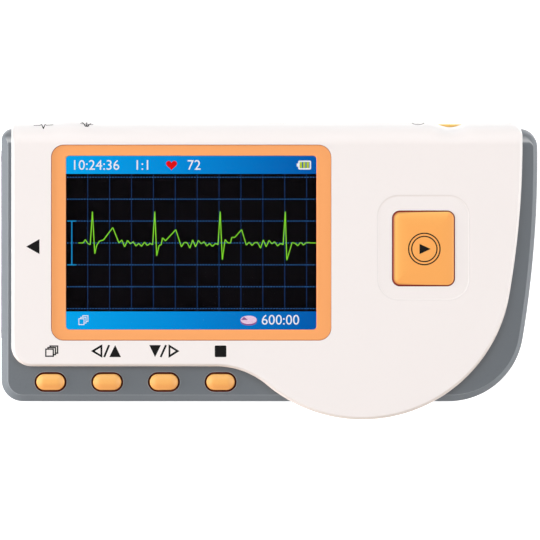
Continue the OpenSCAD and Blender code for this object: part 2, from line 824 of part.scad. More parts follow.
module rear_case() {
    rise = [bay_wall, bay_wall, 0];
    low = [bay_x - bay_l / 2, bay_b, -eps];
    high = [bay_x + bay_l / 2, bay_b + bay_w, bay_top];
    color([0.46, 0.48, 0.51]) {
        difference() {
            union() {
                difference() {
                    loft(
                        [for (z = back_levels) even_outline(back_round(z), rear_bulge_r)],
                        back_levels, hub
                    );
                    prism(even_outline(wall, rear_bulge_r), case_floor, far);
                }
                block([low.x, low.y, 0.5] - rise, high + rise + [0, 0, bay_roof]);
                block(
                    [bay_x - tongue_w / 2 - ledge_w, bay_b, case_floor - eps],
                    [bay_x + tongue_w / 2 + ledge_w, door_end + tongue_reach + ledge_w,
                        door_t + tongue_room + ledge_t]
                );
                for (p = screw_at) translate(p) peg(boss_d, case_floor - eps, parting_z);
                rim_strips(0);
            }
            block(low, high);
            door_way();
            for (p = screw_at) translate(p) {
                peg(screw_head_d + 2 * screw_room, -eps, screw_seat);
                peg(screw_d + 0.3, 0, far);
            }
            back_pads(plate_fit, -eps, back_plate_sink + plate_t);
            for (p = spring_at) translate(p) peg(contact_hole_d, -eps, case_floor + 1);
            left_pad(plate_fit, body_l - 1, body_l + plate_t - plate_proud);
            for (a = [0 : 60 : 300]) translate(buzzer_c + sound_ring_r * [cos(a), sin(a)])
                peg(sound_hole_d, -eps, case_floor + eps);
            translate(buzzer_c) peg(sound_hole_d, -eps, case_floor + eps);
        }
        // Rib between the two cells
        block(
            [low.x + cell_rib_in, bay_y - cell_rib.x / 2, bay_top - cell_rib.y],
            [high.x - cell_rib_in, bay_y + cell_rib.x / 2, bay_top + eps]
        );
    }
}

module battery_door() {
    color([0.46, 0.48, 0.51]) difference() {
        union() {
            bar_along_x(
                concat(
                    [for (z = back_steps) [body_b + back_round(z), z]],
                    [[body_b, lip_h], [body_b + lip_wall, lip_h], [body_b + lip_wall, door_t]],
                    [[door_end, door_t], [door_end, 0]]
                ),
                bay_x - door_w / 2, bay_x + door_w / 2
            );
            block(
                [bay_x - tongue_w / 2, body_b + 3, tongue_z],
                [bay_x + tongue_w / 2, door_end + tongue_reach, door_t]
            );
        }
        for (i = [0 : grip_count - 1]) translate([bay_x, body_b + 8 + i * grip_pitch, 0])
            prism(slot_outline(grip_w, grip_pitch / 2), -eps, grip_d);
    }
}

module lens_border() {
    color([0.99, 0.66, 0.4]) at_border() difference() {
        loft(
            [pad_outline(border_w, border_h, border_r), pad_outline(border_w, border_h, border_r),
                pad_outline(border_w, border_h, border_r, 0.2)],
            [face_z, border_z - 0.2, border_z]
        );
        pad(window_w, window_h, window_r, 0, far);
        pad(rebate_w, rebate_h, rebate_r, 0, lens_top);
    }
}

module display_lens() {
    color([0.8, 0.85, 0.9, 0.4]) at_border()
        pad(rebate_w - 2 * fit, rebate_h - 2 * fit, rebate_r - fit, lens_z, lens_top);
}

module lcd_panel() {
    color([0.06, 0.05, 0.06]) at_border() {
        pad(glass_w, glass_h, glass_r, glass_z, glass_mid);
        pad(glass_w - 2 * top_step, glass_h - 2 * top_step, glass_r, glass_mid - eps, glass_top);
    }
}

module lcd_backlight() {
    color([0.92, 0.93, 0.95]) at_border()
        pad(glass_w, glass_h, glass_r, board_top + tray_floor, glass_z);
}

module lcd_tray() {
    color([0.85, 0.85, 0.82]) at_border() difference() {
        pad(tray_w, tray_h, tray_r, board_top, tray_top);
        pad(glass_w + 2 * fit, glass_h + 2 * fit, tray_r / 2, board_top + tray_floor, far);
        block([glass_w / 2, -ribbon_w / 2 - fit, glass_z], [tray_w, ribbon_w / 2 + fit, far]);
    }
}

// Flat cable from the display's edge down to its connector on the board
module lcd_ribbon() {
    t = ribbon_t;
    x0 = glass_w / 2 + fit / 2;
    x1 = tray_w / 2 + ribbon_out;
    x2 = x1 + ribbon_slope;
    x3 = x2 + ribbon_slope;
    z0 = glass_z + 0.15;
    z1 = board_top + connector_h / 2 - t / 2;
    color([0.75, 0.45, 0.15]) at_border() translate([0, ribbon_w / 2, 0]) rotate([90, 0, 0])
        linear_extrude(ribbon_w) polygon([
            [x0, z0], [x1, z0], [x2, z1], [x3, z1],
            [x3, z1 + t], [x2 + t / 2, z1 + t], [x1 + t / 2, z0 + t], [x0, z0 + t]
        ]);
}

module lcd_connector() {
    x0 = tray_w / 2 + ribbon_out + ribbon_slope + ribbon_t * 2;
    y = ribbon_w / 2 + connector_side;
    slot_y = ribbon_w / 2 + fit;
    slot_z = board_top + connector_h / 2;
    color([0.93, 0.9, 0.82]) at_border() difference() {
        block([x0, -y, board_top], [x0 + connector_w, y, board_top + connector_h]);
        block([x0 - eps, -slot_y, slot_z - ribbon_t], [x0 + ribbon_slope, slot_y, slot_z + ribbon_t]);
    }
}

// Oval key: domed cap on a wider flange that the front frame holds down
module key(x) {
    top = face_z + key_proud;
    color([1, 0.74, 0.43]) translate([x, key_y, 0]) {
        loft(
            [for (a = [0, 0, 25, 50, 70, 90]) slot_outline(key_w, key_h, key_round * (1 - cos(a)))],
            [key_base + flange_t / 2, top - key_round,
                for (a = [25, 50, 70, 90]) top - key_round * (1 - sin(a)) + 0.06 * sin(a) - 0.06]
        );
        prism(
            slot_outline(key_w + 2 * (key_gap + flange_rim), key_h + 2 * (key_gap + flange_rim)),
            key_base, key_base + flange_t
        );
    }
}

module measure_button() {
    top = body_depth + measure_proud;
    edge = measure_round;
    color([1, 0.69, 0.39]) at_measure() {
        loft(
            [for (a = [0, 0, 25, 50, 70, 90])
                pad_outline(measure_w, measure_h, measure_r, edge * (1 - cos(a)))],
            [measure_base + measure_flange_t / 2, top - edge,
                for (a = [25, 50, 70, 90]) top - edge * (1 - sin(a))]
        );
        pad(
            measure_w + 2 * measure_flange_rim, measure_h + 2 * measure_flange_rim, 2,
            measure_base, measure_base + measure_flange_t
        );
        peg(measure_stem_d, measure_switch_top + measure_travel + press_gap, measure_base + eps);
    }
}

module power_button() {
    round_in = power_round;
    color([1, 0.72, 0.36]) translate([power_x, 0, power_z]) rotate([-90, 0, 0]) {
        loft(
            [for (a = [0, 0, 30, 60, 90]) slot_outline(power_w, power_h, round_in * (1 - cos(a)))],
            [power_flange_y - power_flange_t / 2, power_y - round_in,
                for (a = [30, 60, 90]) power_y - round_in * (1 - sin(a))]
        );
        prism(
            slot_outline(power_w + 2 * power_rim, power_h + 2 * power_rim),
            power_flange_y - power_flange_t, power_flange_y
        );
    }
}

module main_board() {
    edge = board_edge;
    color([0.1, 0.38, 0.2]) difference() {
        prism(
            body_outline(edge, edge, body_t - inner_top + 0.3, edge), board_z, board_top
        );
        for (p = screw_at) translate(p) peg(boss_d + 2 * board_room, 0, far);
        for (p = stud_at) translate(p) peg(board_screw_d + fit, 0, far);
    }
}

// Flat push switch that stands on the board with its plunger up
module push_switch(w, body_top, plunger_d, top) {
    color([0.2, 0.2, 0.22]) pad(w, w, 0.4, board_top, body_top);
    color([0.75, 0.7, 0.6]) peg(plunger_d, body_top - eps, top);
}

module key_switches() {
    for (x = key_x) translate([x, key_y, 0])
        push_switch(key_switch_w, key_switch_top - plunger_up, key_plunger_d, key_switch_top);
}

module measure_switch() {
    at_measure() push_switch(
        measure_switch_w, measure_switch_top - plunger_up, measure_plunger_d, measure_switch_top
    );
}

module power_switch() {
    face_y = power_switch_y - plunger_up;
    color([0.2, 0.2, 0.22]) block(
        [power_x - power_switch_w / 2, face_y - power_switch_d, power_z - power_switch_low],
        [power_x + power_switch_w / 2, face_y, board_z]
    );
    color([0.75, 0.7, 0.6]) translate([power_x, face_y - eps, power_z])
        rotate([-90, 0, 0]) peg(power_plunger_d, 0, plunger_up + eps);
}

module processor_chip() {
    w = processor_w;
    translate([processor_c.x, processor_c.y, 0]) {
        color([0.1, 0.1, 0.11])
            pad(w, w, 0.3, board_z - leg_drop - processor_t, board_z - leg_drop);
        color([0.8, 0.8, 0.82]) for (a = [0 : 90 : 270], i = [0 : processor_legs - 1])
            let (y = (i - (processor_legs - 1) / 2) * processor_pitch)
            rotate([0, 0, a]) block(
                [w / 2 - leg_drop, y - processor_leg.y / 2, board_z - 3 * leg_drop],
                [w / 2 + processor_leg.x, y + processor_leg.y / 2, board_z]
            );
    }
}

module board_chips() {
    for (p = chip_at) translate([p.x, p.y, 0]) {
        color([0.1, 0.1, 0.11])
            pad(chip_w, chip_h, 0.2, board_z - leg_drop - chip_t, board_z - leg_drop);
        color([0.8, 0.8, 0.82]) for (s = [-1, 1], i = [0 : chip_legs - 1])
            let (x = s * (chip_w + chip_leg.x - leg_drop) / 2, y = (i - (chip_legs - 1) / 2) * chip_pitch)
            block(
                [x - chip_leg.x / 2, y - chip_leg.y / 2, board_z - 3 * leg_drop],
                [x + chip_leg.x / 2, y + chip_leg.y / 2, board_z]
            );
    }
}

module amplifier_shield() {
    inner = 2 * shield_wall;
    color([0.78, 0.79, 0.8]) translate([shield_c.x, shield_c.y, 0]) difference() {
        pad(shield_w, shield_h, 0.6, board_z - shield_t, board_z);
        pad(shield_w - inner, shield_h - inner, 0.4, board_z - shield_t + shield_wall, far);
    }
}

module clock_crystal() {
    color([0.8, 0.8, 0.82]) translate([crystal_c.x, crystal_c.y, 0])
        prism(slot_outline(crystal_w, crystal_h), board_z - crystal_t, board_z);
}

module buzzer() {
    color([0.12, 0.12, 0.13]) translate(buzzer_c) difference() {
        peg(buzzer_d, board_z - buzzer_t, board_z);
        peg(buzzer_hole_d, 0, board_z - buzzer_t / 2);
    }
}

module lead_socket() {
    color([0.8, 0.8, 0.82]) translate([port_x, port_face, port_z]) rotate([90, 0, 0]) difference() {
        pad(port_w, port_h, port_r, 0, port_d);
        difference() {
            pad(
                port_w - 2 * port_shell, port_h - 2 * port_shell, port_r - port_shell,
                -eps, port_d - port_back
            );
            pad(port_w - 2 * port_back, tongue_t, tongue_t / 4, tongue_in, port_d);
        }
    }
}

module left_electrode() {
    color([0.76, 0.78, 0.8])
        left_pad(0, body_l - plate_proud, body_l - plate_proud + plate_t);
}

// Both plates on the back, or the recesses they lie in
module back_pads(grow, low, high) {
    translate([back_plate_x, finger_y, 0])
        pad(back_plate_w + 2 * grow, finger_plate_h + 2 * grow, back_plate_r, low, high);
    translate([back_plate_x, palm_y, 0])
        pad(back_plate_w + 2 * grow, palm_plate_h + 2 * grow, back_plate_r, low, high);
}

module back_plate(y, h) {
    color([0.76, 0.78, 0.8]) translate([back_plate_x, y, 0])
        pad(back_plate_w, h, back_plate_r, back_plate_sink, back_plate_sink + plate_t);
}

module finger_electrode() {
    back_plate(finger_y, finger_plate_h);
}

module palm_electrode() {
    back_plate(palm_y, palm_plate_h);
}

module electrode_springs() {
    low = back_plate_sink + plate_t;
    wire = back_spring_wire;
    r = back_spring_d / 2 - wire;
    color([0.85, 0.72, 0.35]) for (p = spring_at) translate([p.x, p.y, low])
        coil(r, r, board_z - low, back_spring_turns, wire, 10, 5);
}

// Bent spring strip from the back of the left plate up to the board
module side_contact() {
    t = side_contact_t;
    x0 = body_l + plate_t - plate_proud;
    x1 = body_l + wall + 4;
    x2 = x1 + side_contact_foot;
    z = side_hole_z;
    color([0.85, 0.72, 0.35]) translate([0, side_contact_y + side_contact_w / 2, 0]) rotate([90, 0, 0])
        linear_extrude(side_contact_w) polygon([
            [x0, z], [x1, z], [x1, board_z - t], [x2, board_z - t],
            [x2, board_z], [x1 - t, board_z], [x1 - t, z + t], [x0, z + t]
        ]);
}

// Which way each cell's nub points, along X
cell_way = [1, -1];
module battery_cells() {
    for (i = [0, 1]) translate([bay_x, cell_y[i], cell_z]) rotate([0, 90 * cell_way[i], 0])
        translate([0, 0, bay_l / 2 - contact_t - cell_l]) {
            color([0.2, 0.22, 0.25]) peg(cell_d, 0, cell_l - nub_l);
            color([0.8, 0.8, 0.8]) peg(nub_d, cell_l - nub_l - eps, cell_l);
        }
}

module battery_springs() {
    color([0.8, 0.8, 0.82])
        for (i = [0, 1]) translate([bay_x, cell_y[i], cell_z]) rotate([0, 90 * cell_way[i], 0])
            translate([0, 0, contact_t - bay_l / 2])
                coil(spring_base_r, spring_tip_r, spring_l, spring_turns, spring_wire);
}

module battery_plates() {
    size = [contact_t, contact_w, contact_w];
    color([0.8, 0.8, 0.82]) for (i = [0, 1], s = [-1, 1])
        translate([bay_x + s * (bay_l - contact_t) / 2, cell_y[i], cell_z]) cube(size, center = true);
}

// Screw with a pan head, point up, seated with its head's upper face at z
module screw(d, l, head_d, head_t, z) {
    color([0.7, 0.7, 0.72]) difference() {
        union() {
            peg(d, z - eps, z + l);
            peg(head_d, z - head_t, z);
        }
        for (a = [0, 90]) translate([0, 0, z - head_t]) rotate([0, 0, a])
            cube([head_d * 0.6, head_d * 0.1, head_t], center = true);
    }
}

module case_screws() {
    for (p = screw_at) translate(p) screw(screw_d, screw_l, screw_head_d, screw_head_t, screw_seat);
}

module board_screws() {
    for (p = stud_at) translate(p)
        screw(board_screw_d, board_screw_l, board_head_d, board_head_t, board_z);
}

front_cover();
front_frame();
rear_case();
battery_door();
lens_border();
display_lens();
lcd_panel();
lcd_backlight();
lcd_tray();
lcd_ribbon();
key(key_x[0]);  // menu_key
key(key_x[1]);  // left_up_key
key(key_x[2]);  // right_down_key
key(key_x[3]);  // stop_key
measure_button();
power_button();
main_board();
key_switches();
measure_switch();
power_switch();
lcd_connector();
processor_chip();
board_chips();
amplifier_shield();
clock_crystal();
buzzer();
lead_socket();
left_electrode();
finger_electrode();
palm_electrode();
electrode_springs();
side_contact();
battery_cells();
battery_springs();
battery_plates();
case_screws();
board_screws();
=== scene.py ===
import math

import bmesh
import bpy
from mathutils import Matrix, Vector
from mathutils.bvhtree import BVHTree


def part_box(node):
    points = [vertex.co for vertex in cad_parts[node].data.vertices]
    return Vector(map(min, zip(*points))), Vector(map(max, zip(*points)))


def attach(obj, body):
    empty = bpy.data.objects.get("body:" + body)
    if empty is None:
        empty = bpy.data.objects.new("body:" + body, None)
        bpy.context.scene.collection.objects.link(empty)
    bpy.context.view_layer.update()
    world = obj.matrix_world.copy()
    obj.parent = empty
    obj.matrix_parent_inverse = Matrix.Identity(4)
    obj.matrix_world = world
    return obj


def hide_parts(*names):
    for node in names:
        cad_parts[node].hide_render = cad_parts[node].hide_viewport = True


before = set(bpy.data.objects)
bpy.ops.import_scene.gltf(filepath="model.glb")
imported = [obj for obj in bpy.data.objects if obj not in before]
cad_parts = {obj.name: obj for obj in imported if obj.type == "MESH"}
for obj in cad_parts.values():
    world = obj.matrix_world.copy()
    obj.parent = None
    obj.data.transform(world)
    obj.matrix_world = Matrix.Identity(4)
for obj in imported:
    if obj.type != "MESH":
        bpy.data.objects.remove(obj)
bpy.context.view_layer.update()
bpy.context.scene.view_settings.view_transform = "Standard"
print("frame loaded:", len(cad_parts), "nodes")

mm = 0.001  # shapes are worked out in millimetres and end in metres
past = 90  # a reach beyond every piece, for cutters that go right through
bite = 0.05  # how far shapes that are joined or cut reach into each other


def nodeBox(name):  # lowest and highest corner of a node, in millimetres
    low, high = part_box(name)
    return low / mm, high / mm


def tone(red, green, blue):  # a colour as it is read off a screen, made linear
    steps = [value / 255 for value in (red, green, blue)]
    return [s / 12.92 if s <= 0.04045 else ((s + 0.055) / 1.055) ** 2.4 for s in steps] + [1]


# ---- outlines, as lists of (x, y) that run anticlockwise


def arc(centre, radius, start, end, count, ends=True):
    span = range(count + 1) if ends else range(1, count)
    turns = [math.radians(start + (end - start) * i / count) for i in span]
    return [(centre[0] + radius * math.cos(t), centre[1] + radius * math.sin(t)) for t in turns]


def padShape(width, height, radius, inset=0, count=8):
    r = max(radius - inset, 0.05)
    a, b = width / 2 - inset - r, height / 2 - inset - r
    corners = [((a, -b), -90), ((a, b), 0), ((-a, b), 90), ((-a, -b), 180)]
    return [p for centre, turn in corners for p in arc(centre, r, turn, turn + 90, count)]


def slotShape(width, height, inset=0, count=16):
    r, a = height / 2 - inset, (width - height) / 2
    return arc((a, 0), r, -90, 90, count) + arc((-a, 0), r, 90, 270, count)


def moved(points, x, y):
    return [(p[0] + x, p[1] + y) for p in points]


def padAt(centre, width, height, radius, inset=0, count=8):
    return moved(padShape(width, height, radius, inset, count), centre[0], centre[1])


def circle(centre, radius, count=64):
    return arc(centre, radius, 0, 360 - 360 / count, count - 1)


def hump(x, width):  # smooth rise of height 1 over a width
    return (1 + math.cos(2 * math.pi * x / width)) / 2 if abs(x) < width / 2 else 0


def quarter(width, share):  # how far a quarter ellipse has drawn in at a share of its height
    return width * (1 - math.sqrt(max(1 - max(share, 0) ** 2, 0)))


def roundOver(radius, top, step=9):  # insets and levels of a quarter round that ends at the top
    turns = [math.radians(a) for a in range(0, 91, step)]
    insets = [radius * (1 - math.cos(t)) for t in turns]
    return insets, [top - radius * (1 - math.sin(t)) for t in turns]


# ---- meshes


def addObject(name, mesh):
    piece = bpy.data.objects.new(name, mesh)
    bpy.context.scene.collection.objects.link(piece)
    return piece


def meshFrom(name, points, faces):
    mesh = bpy.data.meshes.new(name)
    mesh.from_pydata(points, [], faces)
    return addObject(name, mesh)


def loft(name, rings, levels):  # closed solid through rings of equal count, from low to high
    count = len(rings[0])
    points = [(x, y, z) for ring, z in zip(rings, levels) for x, y in ring]
    faces = [list(range(count))[::-1], list(range(len(points) - count, len(points)))]
    for k in range(len(rings) - 1):
        for i in range(count):
            j = (i + 1) % count
            low, high = k * count, (k + 1) * count
            faces.append((low + i, low + j, high + j, high + i))
    return meshFrom(name, points, faces)


def prism(name, shape, low, high):
    return loft(name, [shape, shape], [low, high])


def block(name, low, high):
    shape = [(low[0], low[1]), (high[0], low[1]), (high[0], high[1]), (low[0], high[1])]
    return prism(name, shape, low[2], high[2])


def turnInto(piece, columns, place=(0, 0, 0)):  # local x, y and z run along these axes
    matrix = Matrix(columns).transposed().to_4x4()
    matrix.translation = place
    piece.data.transform(matrix)
    return piece


towardTop = [(1, 0, 0), (0, 0, 1), (0, 1, 0)]  # local z runs along +Y; this mirrors
towardEnd = [(0, 1, 0), (0, 0, 1), (1, 0, 0)]  # local z runs along +X


def barAlongX(name, profile, start, end):  # profile of (y, z) carried along X
    return turnInto(prism(name, profile, start, end), towardEnd)


def faceOut(piece):
    bm = bmesh.new()
    bm.from_mesh(piece.data)
    bmesh.ops.remove_doubles(bm, verts=bm.verts, dist=1e-5)
    bmesh.ops.recalc_face_normals(bm, faces=bm.faces)
    bm.to_mesh(piece.data)
    bm.free()
    return piece


def bakeModifiers(piece):
    graph = bpy.context.evaluated_depsgraph_get()
    mesh = bpy.data.meshes.new_from_object(piece.evaluated_get(graph))
    piece.modifiers.clear()
    old, piece.data = piece.data, mesh
    bpy.data.meshes.remove(old)
    return piece


def combine(piece, others, how):  # how is DIFFERENCE, UNION or INTERSECT
    for other in others:
        change = piece.modifiers.new("combine", "BOOLEAN")
        change.operation = how
        change.solver = "EXACT"
        change.object = other
    bakeModifiers(piece)
    for other in others:
        bpy.data.objects.remove(other)
    return piece


def roundEdges(piece, width, angle=40, segments=2):
    bevel = piece.modifiers.new("round", "BEVEL")
    bevel.width = width
    bevel.segments = segments
    bevel.limit_method = "ANGLE"
    bevel.angle_limit = math.radians(angle)
    bevel.use_clamp_overlap = True
    return bakeModifiers(piece)


def smoothShell(piece, angle=32):  # flat faces stay flat, rounded ones flow, crisp edges stay
    mesh = piece.data
    bm = bmesh.new()
    bm.from_mesh(mesh)
    bmesh.ops.remove_doubles(bm, verts=bm.verts, dist=1e-4)
    for face in bm.faces:
        face.smooth = True
    for edge in bm.edges:
        edge.smooth = len(edge.link_faces) == 2 and edge.calc_face_angle(0) < math.radians(angle)
    bm.to_mesh(mesh)
    bm.free()
    weight = piece.modifiers.new("weight", "WEIGHTED_NORMAL")
    weight.keep_sharp = True
    return bakeModifiers(piece)


def settle(piece, body, material, slot, *nodes):  # the piece is done: into metres and onto its body
    piece.data.transform(Matrix.Scale(mm, 4))
    piece.data.materials.clear()
    piece.data.materials.append(material)
    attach(piece, body)
    if nodes:
        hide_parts(*nodes)
    return piece


def joined(name, pieces):
    bm = bmesh.new()
    for piece in pieces:
        bm.from_mesh(piece.data)
        bpy.data.objects.remove(piece)
    mesh = bpy.data.meshes.new(name)
    bm.to_mesh(mesh)
    bm.free()
    return addObject(name, mesh)


# ---- shader groups that several finishes share


def setInputs(node, values):
    for name, value in values.items():
        node.inputs[name].default_value = value


def addNode(tree, kind, values=None, **settings):  # values go to its inputs, settings to the node
    node = tree.nodes.new(kind)
    for name, value in settings.items():
        setattr(node, name, value)
    setInputs(node, values or {})
    return node


def linkNodes(tree, *pairs):
    for start, end in pairs:
        tree.links.new(start, end)


def newGroup(name, inputs, outputs):  # its tree, what comes in, what goes out and the point's place
    tree = bpy.data.node_groups.new(name, "ShaderNodeTree")
    for each, value in inputs.items():
        kind = "NodeSocketVector" if isinstance(value, tuple) else "NodeSocketFloat"
        tree.interface.new_socket(name=each, in_out="INPUT", socket_type=kind).default_value = value
    for each in outputs:
        tree.interface.new_socket(name=each, in_out="OUTPUT", socket_type="NodeSocketFloat")
    entry, leave = tree.nodes.new("NodeGroupInput"), tree.nodes.new("NodeGroupOutput")
    return tree, entry.outputs, leave.inputs, tree.nodes.new("ShaderNodeTexCoord").outputs["Object"]


def makeGrainGroup():  # moulded grain: a height for the bump, a slow drift of tone and small specks
    tree, entry, leave, place = newGroup(
        "mouldedGrain", {"Grain Size": 2600.0, "Drift Size": 40.0}, ("Height", "Drift", "Speckle")
    )
    grain, drift, speckle = (
        addNode(tree, "ShaderNodeTexNoise", {"Detail": detail}) for detail in (3, 2, 1)
    )
    coarser = addNode(tree, "ShaderNodeMath", {1: 0.45}, operation="MULTIPLY")
    linkNodes(
        tree,
        (place, grain.inputs["Vector"]),
        (place, drift.inputs["Vector"]),
        (place, speckle.inputs["Vector"]),
        (entry["Grain Size"], grain.inputs["Scale"]),
        (entry["Drift Size"], drift.inputs["Scale"]),
        (entry["Grain Size"], coarser.inputs[0]),
        (coarser.outputs[0], speckle.inputs["Scale"]),
        (grain.outputs["Fac"], leave["Height"]),
        (drift.outputs["Fac"], leave["Drift"]),
        (speckle.outputs["Fac"], leave["Speckle"]),
    )
    return tree


def makeBrushGroup():  # fine brush lines that run along X or Y of the piece
    tree, entry, leave, place = newGroup(
        "brushedLines", {"Across": (300, 12000, 12000)}, ("Height", "Shade")
    )
    stretch = addNode(tree, "ShaderNodeVectorMath", operation="MULTIPLY")
    lines = addNode(tree, "ShaderNodeTexNoise", {"Scale": 1, "Detail": 2})
    bands = addNode(tree, "ShaderNodeTexNoise", {"Scale": 0.12, "Detail": 3})
    linkNodes(
        tree,
        (place, stretch.inputs[0]),
        (entry["Across"], stretch.inputs[1]),
        (stretch.outputs[0], lines.inputs["Vector"]),
        (stretch.outputs[0], bands.inputs["Vector"]),
        (lines.outputs["Fac"], leave["Height"]),
        (bands.outputs["Fac"], leave["Shade"]),
    )
    return tree


grainGroup = makeGrainGroup()
brushGroup = makeBrushGroup()


def newMaterial(name):
    made = bpy.data.materials.new(name)
    made.use_nodes = True
    return made, made.node_tree, made.node_tree.nodes["Principled BSDF"]


def remap(tree, value, low, high, fromLow=0.3, fromHigh=0.7):
    node = addNode(
        tree, "ShaderNodeMapRange",
        {"From Min": fromLow, "From Max": fromHigh, "To Min": low, "To Max": high},
    )
    tree.links.new(value, node.inputs["Value"])
    return node.outputs["Result"]


def blendTones(tree, mask, first, second):  # each tone is a colour or a socket that gives one
    node = addNode(tree, "ShaderNodeMix", data_type="RGBA")
    tree.links.new(mask, node.inputs[0])
    for value, entry in ((first, node.inputs[6]), (second, node.inputs[7])):
        if isinstance(value, bpy.types.NodeSocket):
            tree.links.new(value, entry)
        else:
            entry.default_value = value
    return node.outputs[2]


def dimmed(colour, share):
    return [value * share for value in colour[:3]] + [1]


def addBump(tree, shader, height, depth):
    bump = addNode(tree, "ShaderNodeBump", {"Strength": 1, "Distance": depth})
    linkNodes(tree, (height, bump.inputs["Height"]), (bump.outputs["Normal"], shader.inputs["Normal"]))


def addGrain(tree, size=2600, driftSize=40):
    values = {"Grain Size": size, "Drift Size": driftSize}
    return addNode(tree, "ShaderNodeGroup", values, node_tree=grainGroup).outputs


def plastic(name, colour, roughness, grainSize=2600, grainDepth=2e-6, drift=0.06, coat=0, specular=0.5):
    made, tree, shader = newMaterial(name)
    grain = addGrain(tree, grainSize)
    light = tone(*colour)
    drifting = blendTones(tree, remap(tree, grain["Drift"], 0, 1), light, dimmed(light, 1 - drift))
    specks = remap(tree, grain["Speckle"], 0, 0.5, 0.58, 0.75)
    speckled = blendTones(tree, specks, drifting, dimmed(light, 1 - 1.5 * drift))
    rough = remap(tree, grain["Drift"], roughness * 0.9, roughness * 1.12)
    linkNodes(tree, (speckled, shader.inputs["Base Color"]), (rough, shader.inputs["Roughness"]))
    setInputs(shader, {"Specular IOR Level": specular, "Coat Weight": coat, "Coat Roughness": 0.12})
    addBump(tree, shader, grain["Height"], grainDepth)
    return made


def metal(name, colour, roughness, across, depth=2e-6):
    made, tree, shader = newMaterial(name)
    brush = addNode(tree, "ShaderNodeGroup", {"Across": across}, node_tree=brushGroup).outputs
    light = tone(*colour)
    shaded = blendTones(tree, remap(tree, brush["Shade"], 0, 1), light, dimmed(light, 0.82))
    rough = remap(tree, brush["Height"], roughness * 0.8, roughness * 1.25)
    linkNodes(tree, (shaded, shader.inputs["Base Color"]), (rough, shader.inputs["Roughness"]))
    setInputs(shader, {"Metallic": 1})
    addBump(tree, shader, brush["Height"], depth)
    return made


def recolour(material, change):  # change(tree, base) gives the socket that takes the base colour's place
    tree = material.node_tree
    entry = tree.nodes["Principled BSDF"].inputs["Base Color"]
    tree.links.new(change(tree, entry.links[0].from_socket), entry)


def splitPlace(tree, kind="Object"):  # the X, Y and Z of a point
    place, split = tree.nodes.new("ShaderNodeTexCoord"), tree.nodes.new("ShaderNodeSeparateXYZ")
    tree.links.new(place.outputs[kind], split.inputs["Vector"])
    return split.outputs


def paintedLightByTilt(material, colour, *steps):
    # painted light and shade: another tone by how far the surface looks up, from (level, share of the tone)
    # pairs
    def change(tree, base):
        normal, split = tree.nodes.new("ShaderNodeNewGeometry"), tree.nodes.new("ShaderNodeSeparateXYZ")
        curve = tree.nodes.new("ShaderNodeValToRGB")
        stops = curve.color_ramp.elements
        while len(stops) < len(steps):
            stops.new(0.5)
        for stop, (level, share) in zip(stops, steps):
            stop.position, stop.color = level, (share, share, share, 1)
        linkNodes(
            tree,
            (normal.outputs["Normal"], split.inputs["Vector"]),
            (split.outputs["Z"], curve.inputs["Fac"]),
        )
        return blendTones(tree, curve.outputs["Color"], base, tone(*colour))

    recolour(material, change)


def paintedLightByLean(material, direction, reach, colour):  # painted light and shade: another tone where the surface leans that way
    def change(tree, base):
        normal = tree.nodes.new("ShaderNodeNewGeometry").outputs["Normal"]
        lean = addNode(tree, "ShaderNodeVectorMath", {1: direction}, operation="DOT_PRODUCT")
        tree.links.new(normal, lean.inputs[0])
        return blendTones(tree, remap(tree, lean.outputs["Value"], 0, 1, 0, reach), base, tone(*colour))

    recolour(material, change)


def scaleTone(material, attribute):  # the piece's own attribute makes the tone darker or lighter
    def change(tree, base):
        factor = addNode(tree, "ShaderNodeAttribute", attribute_name=attribute).outputs["Fac"]
        scaled = addNode(tree, "ShaderNodeVectorMath", operation="SCALE")
        linkNodes(tree, (base, scaled.inputs[0]), (factor, scaled.inputs["Scale"]))
        return scaled.outputs["Vector"]

    recolour(material, change)


def twoToneAndShadeBelow(material, level, soft, colour, lean=0):
    # a colour that gives way to a darker one below a level, which stands higher to one side where it leans;
    # on the switches a real two-tone moulding, on the keys and the measure button painted shade on their
    # sides down in the gaps
    def change(tree, base):
        place = splitPlace(tree)
        height = addNode(tree, "ShaderNodeMath", {1: lean}, operation="MULTIPLY_ADD")
        linkNodes(tree, (place["X"], height.inputs[0]), (place["Z"], height.inputs[2]))
        mask = remap(tree, height.outputs[0], 0, 1, (level - soft) * mm, (level + soft) * mm)
        return blendTones(tree, mask, tone(*colour), base)

    recolour(material, change)


finishes = {
    "cover": (247, 239, 236),
    "case": (112, 117, 122),
    "border": (253, 170, 104),
    "key": (255, 185, 102),
    "measure": (254, 174, 92),
    "power": (255, 204, 108),
    "ink": (16, 14, 14),
}
coverPlastic = plastic("coverPlastic", finishes["cover"], 0.34, grainDepth=1.2e-6, drift=0.012, coat=0.25)
casePlastic = plastic("casePlastic", finishes["case"], 0.42, grainSize=3200, grainDepth=3e-6, drift=0.07)
borderPlastic = plastic("borderPlastic", finishes["border"], 0.36, grainDepth=1e-6, drift=0.02, coat=0.2)
keyPlastic = plastic("keyPlastic", finishes["key"], 0.38, grainDepth=1e-6, drift=0.03, coat=0.2)
measurePlastic = plastic("measurePlastic", finishes["measure"], 0.36, grainDepth=1e-6, drift=0.02, coat=0.2)
powerPlastic = plastic("powerPlastic", finishes["power"], 0.38, grainDepth=1e-6, drift=0.02, coat=0.2)
# painted shade: the cover's rolled shoulder and rim darken as they turn away from the top
paintedLightByTilt(coverPlastic, (219, 216, 215), (0.0, 1), (0.55, 1), (0.8, 0.4), (0.96, 0.12), (0.99, 0))
# painted highlight: a lighter band on the small rounds at the slopes' edges and across the top roll
paintedLightByTilt(casePlastic, (188, 190, 192), (0.78, 0), (0.9, 0.8), (0.95, 0.8), (0.985, 0))
# painted shade: the border's rolled outer edge darkens to a deeper orange
paintedLightByTilt(borderPlastic, (236, 134, 80), (0.0, 1), (0.6, 0.9), (0.95, 0))
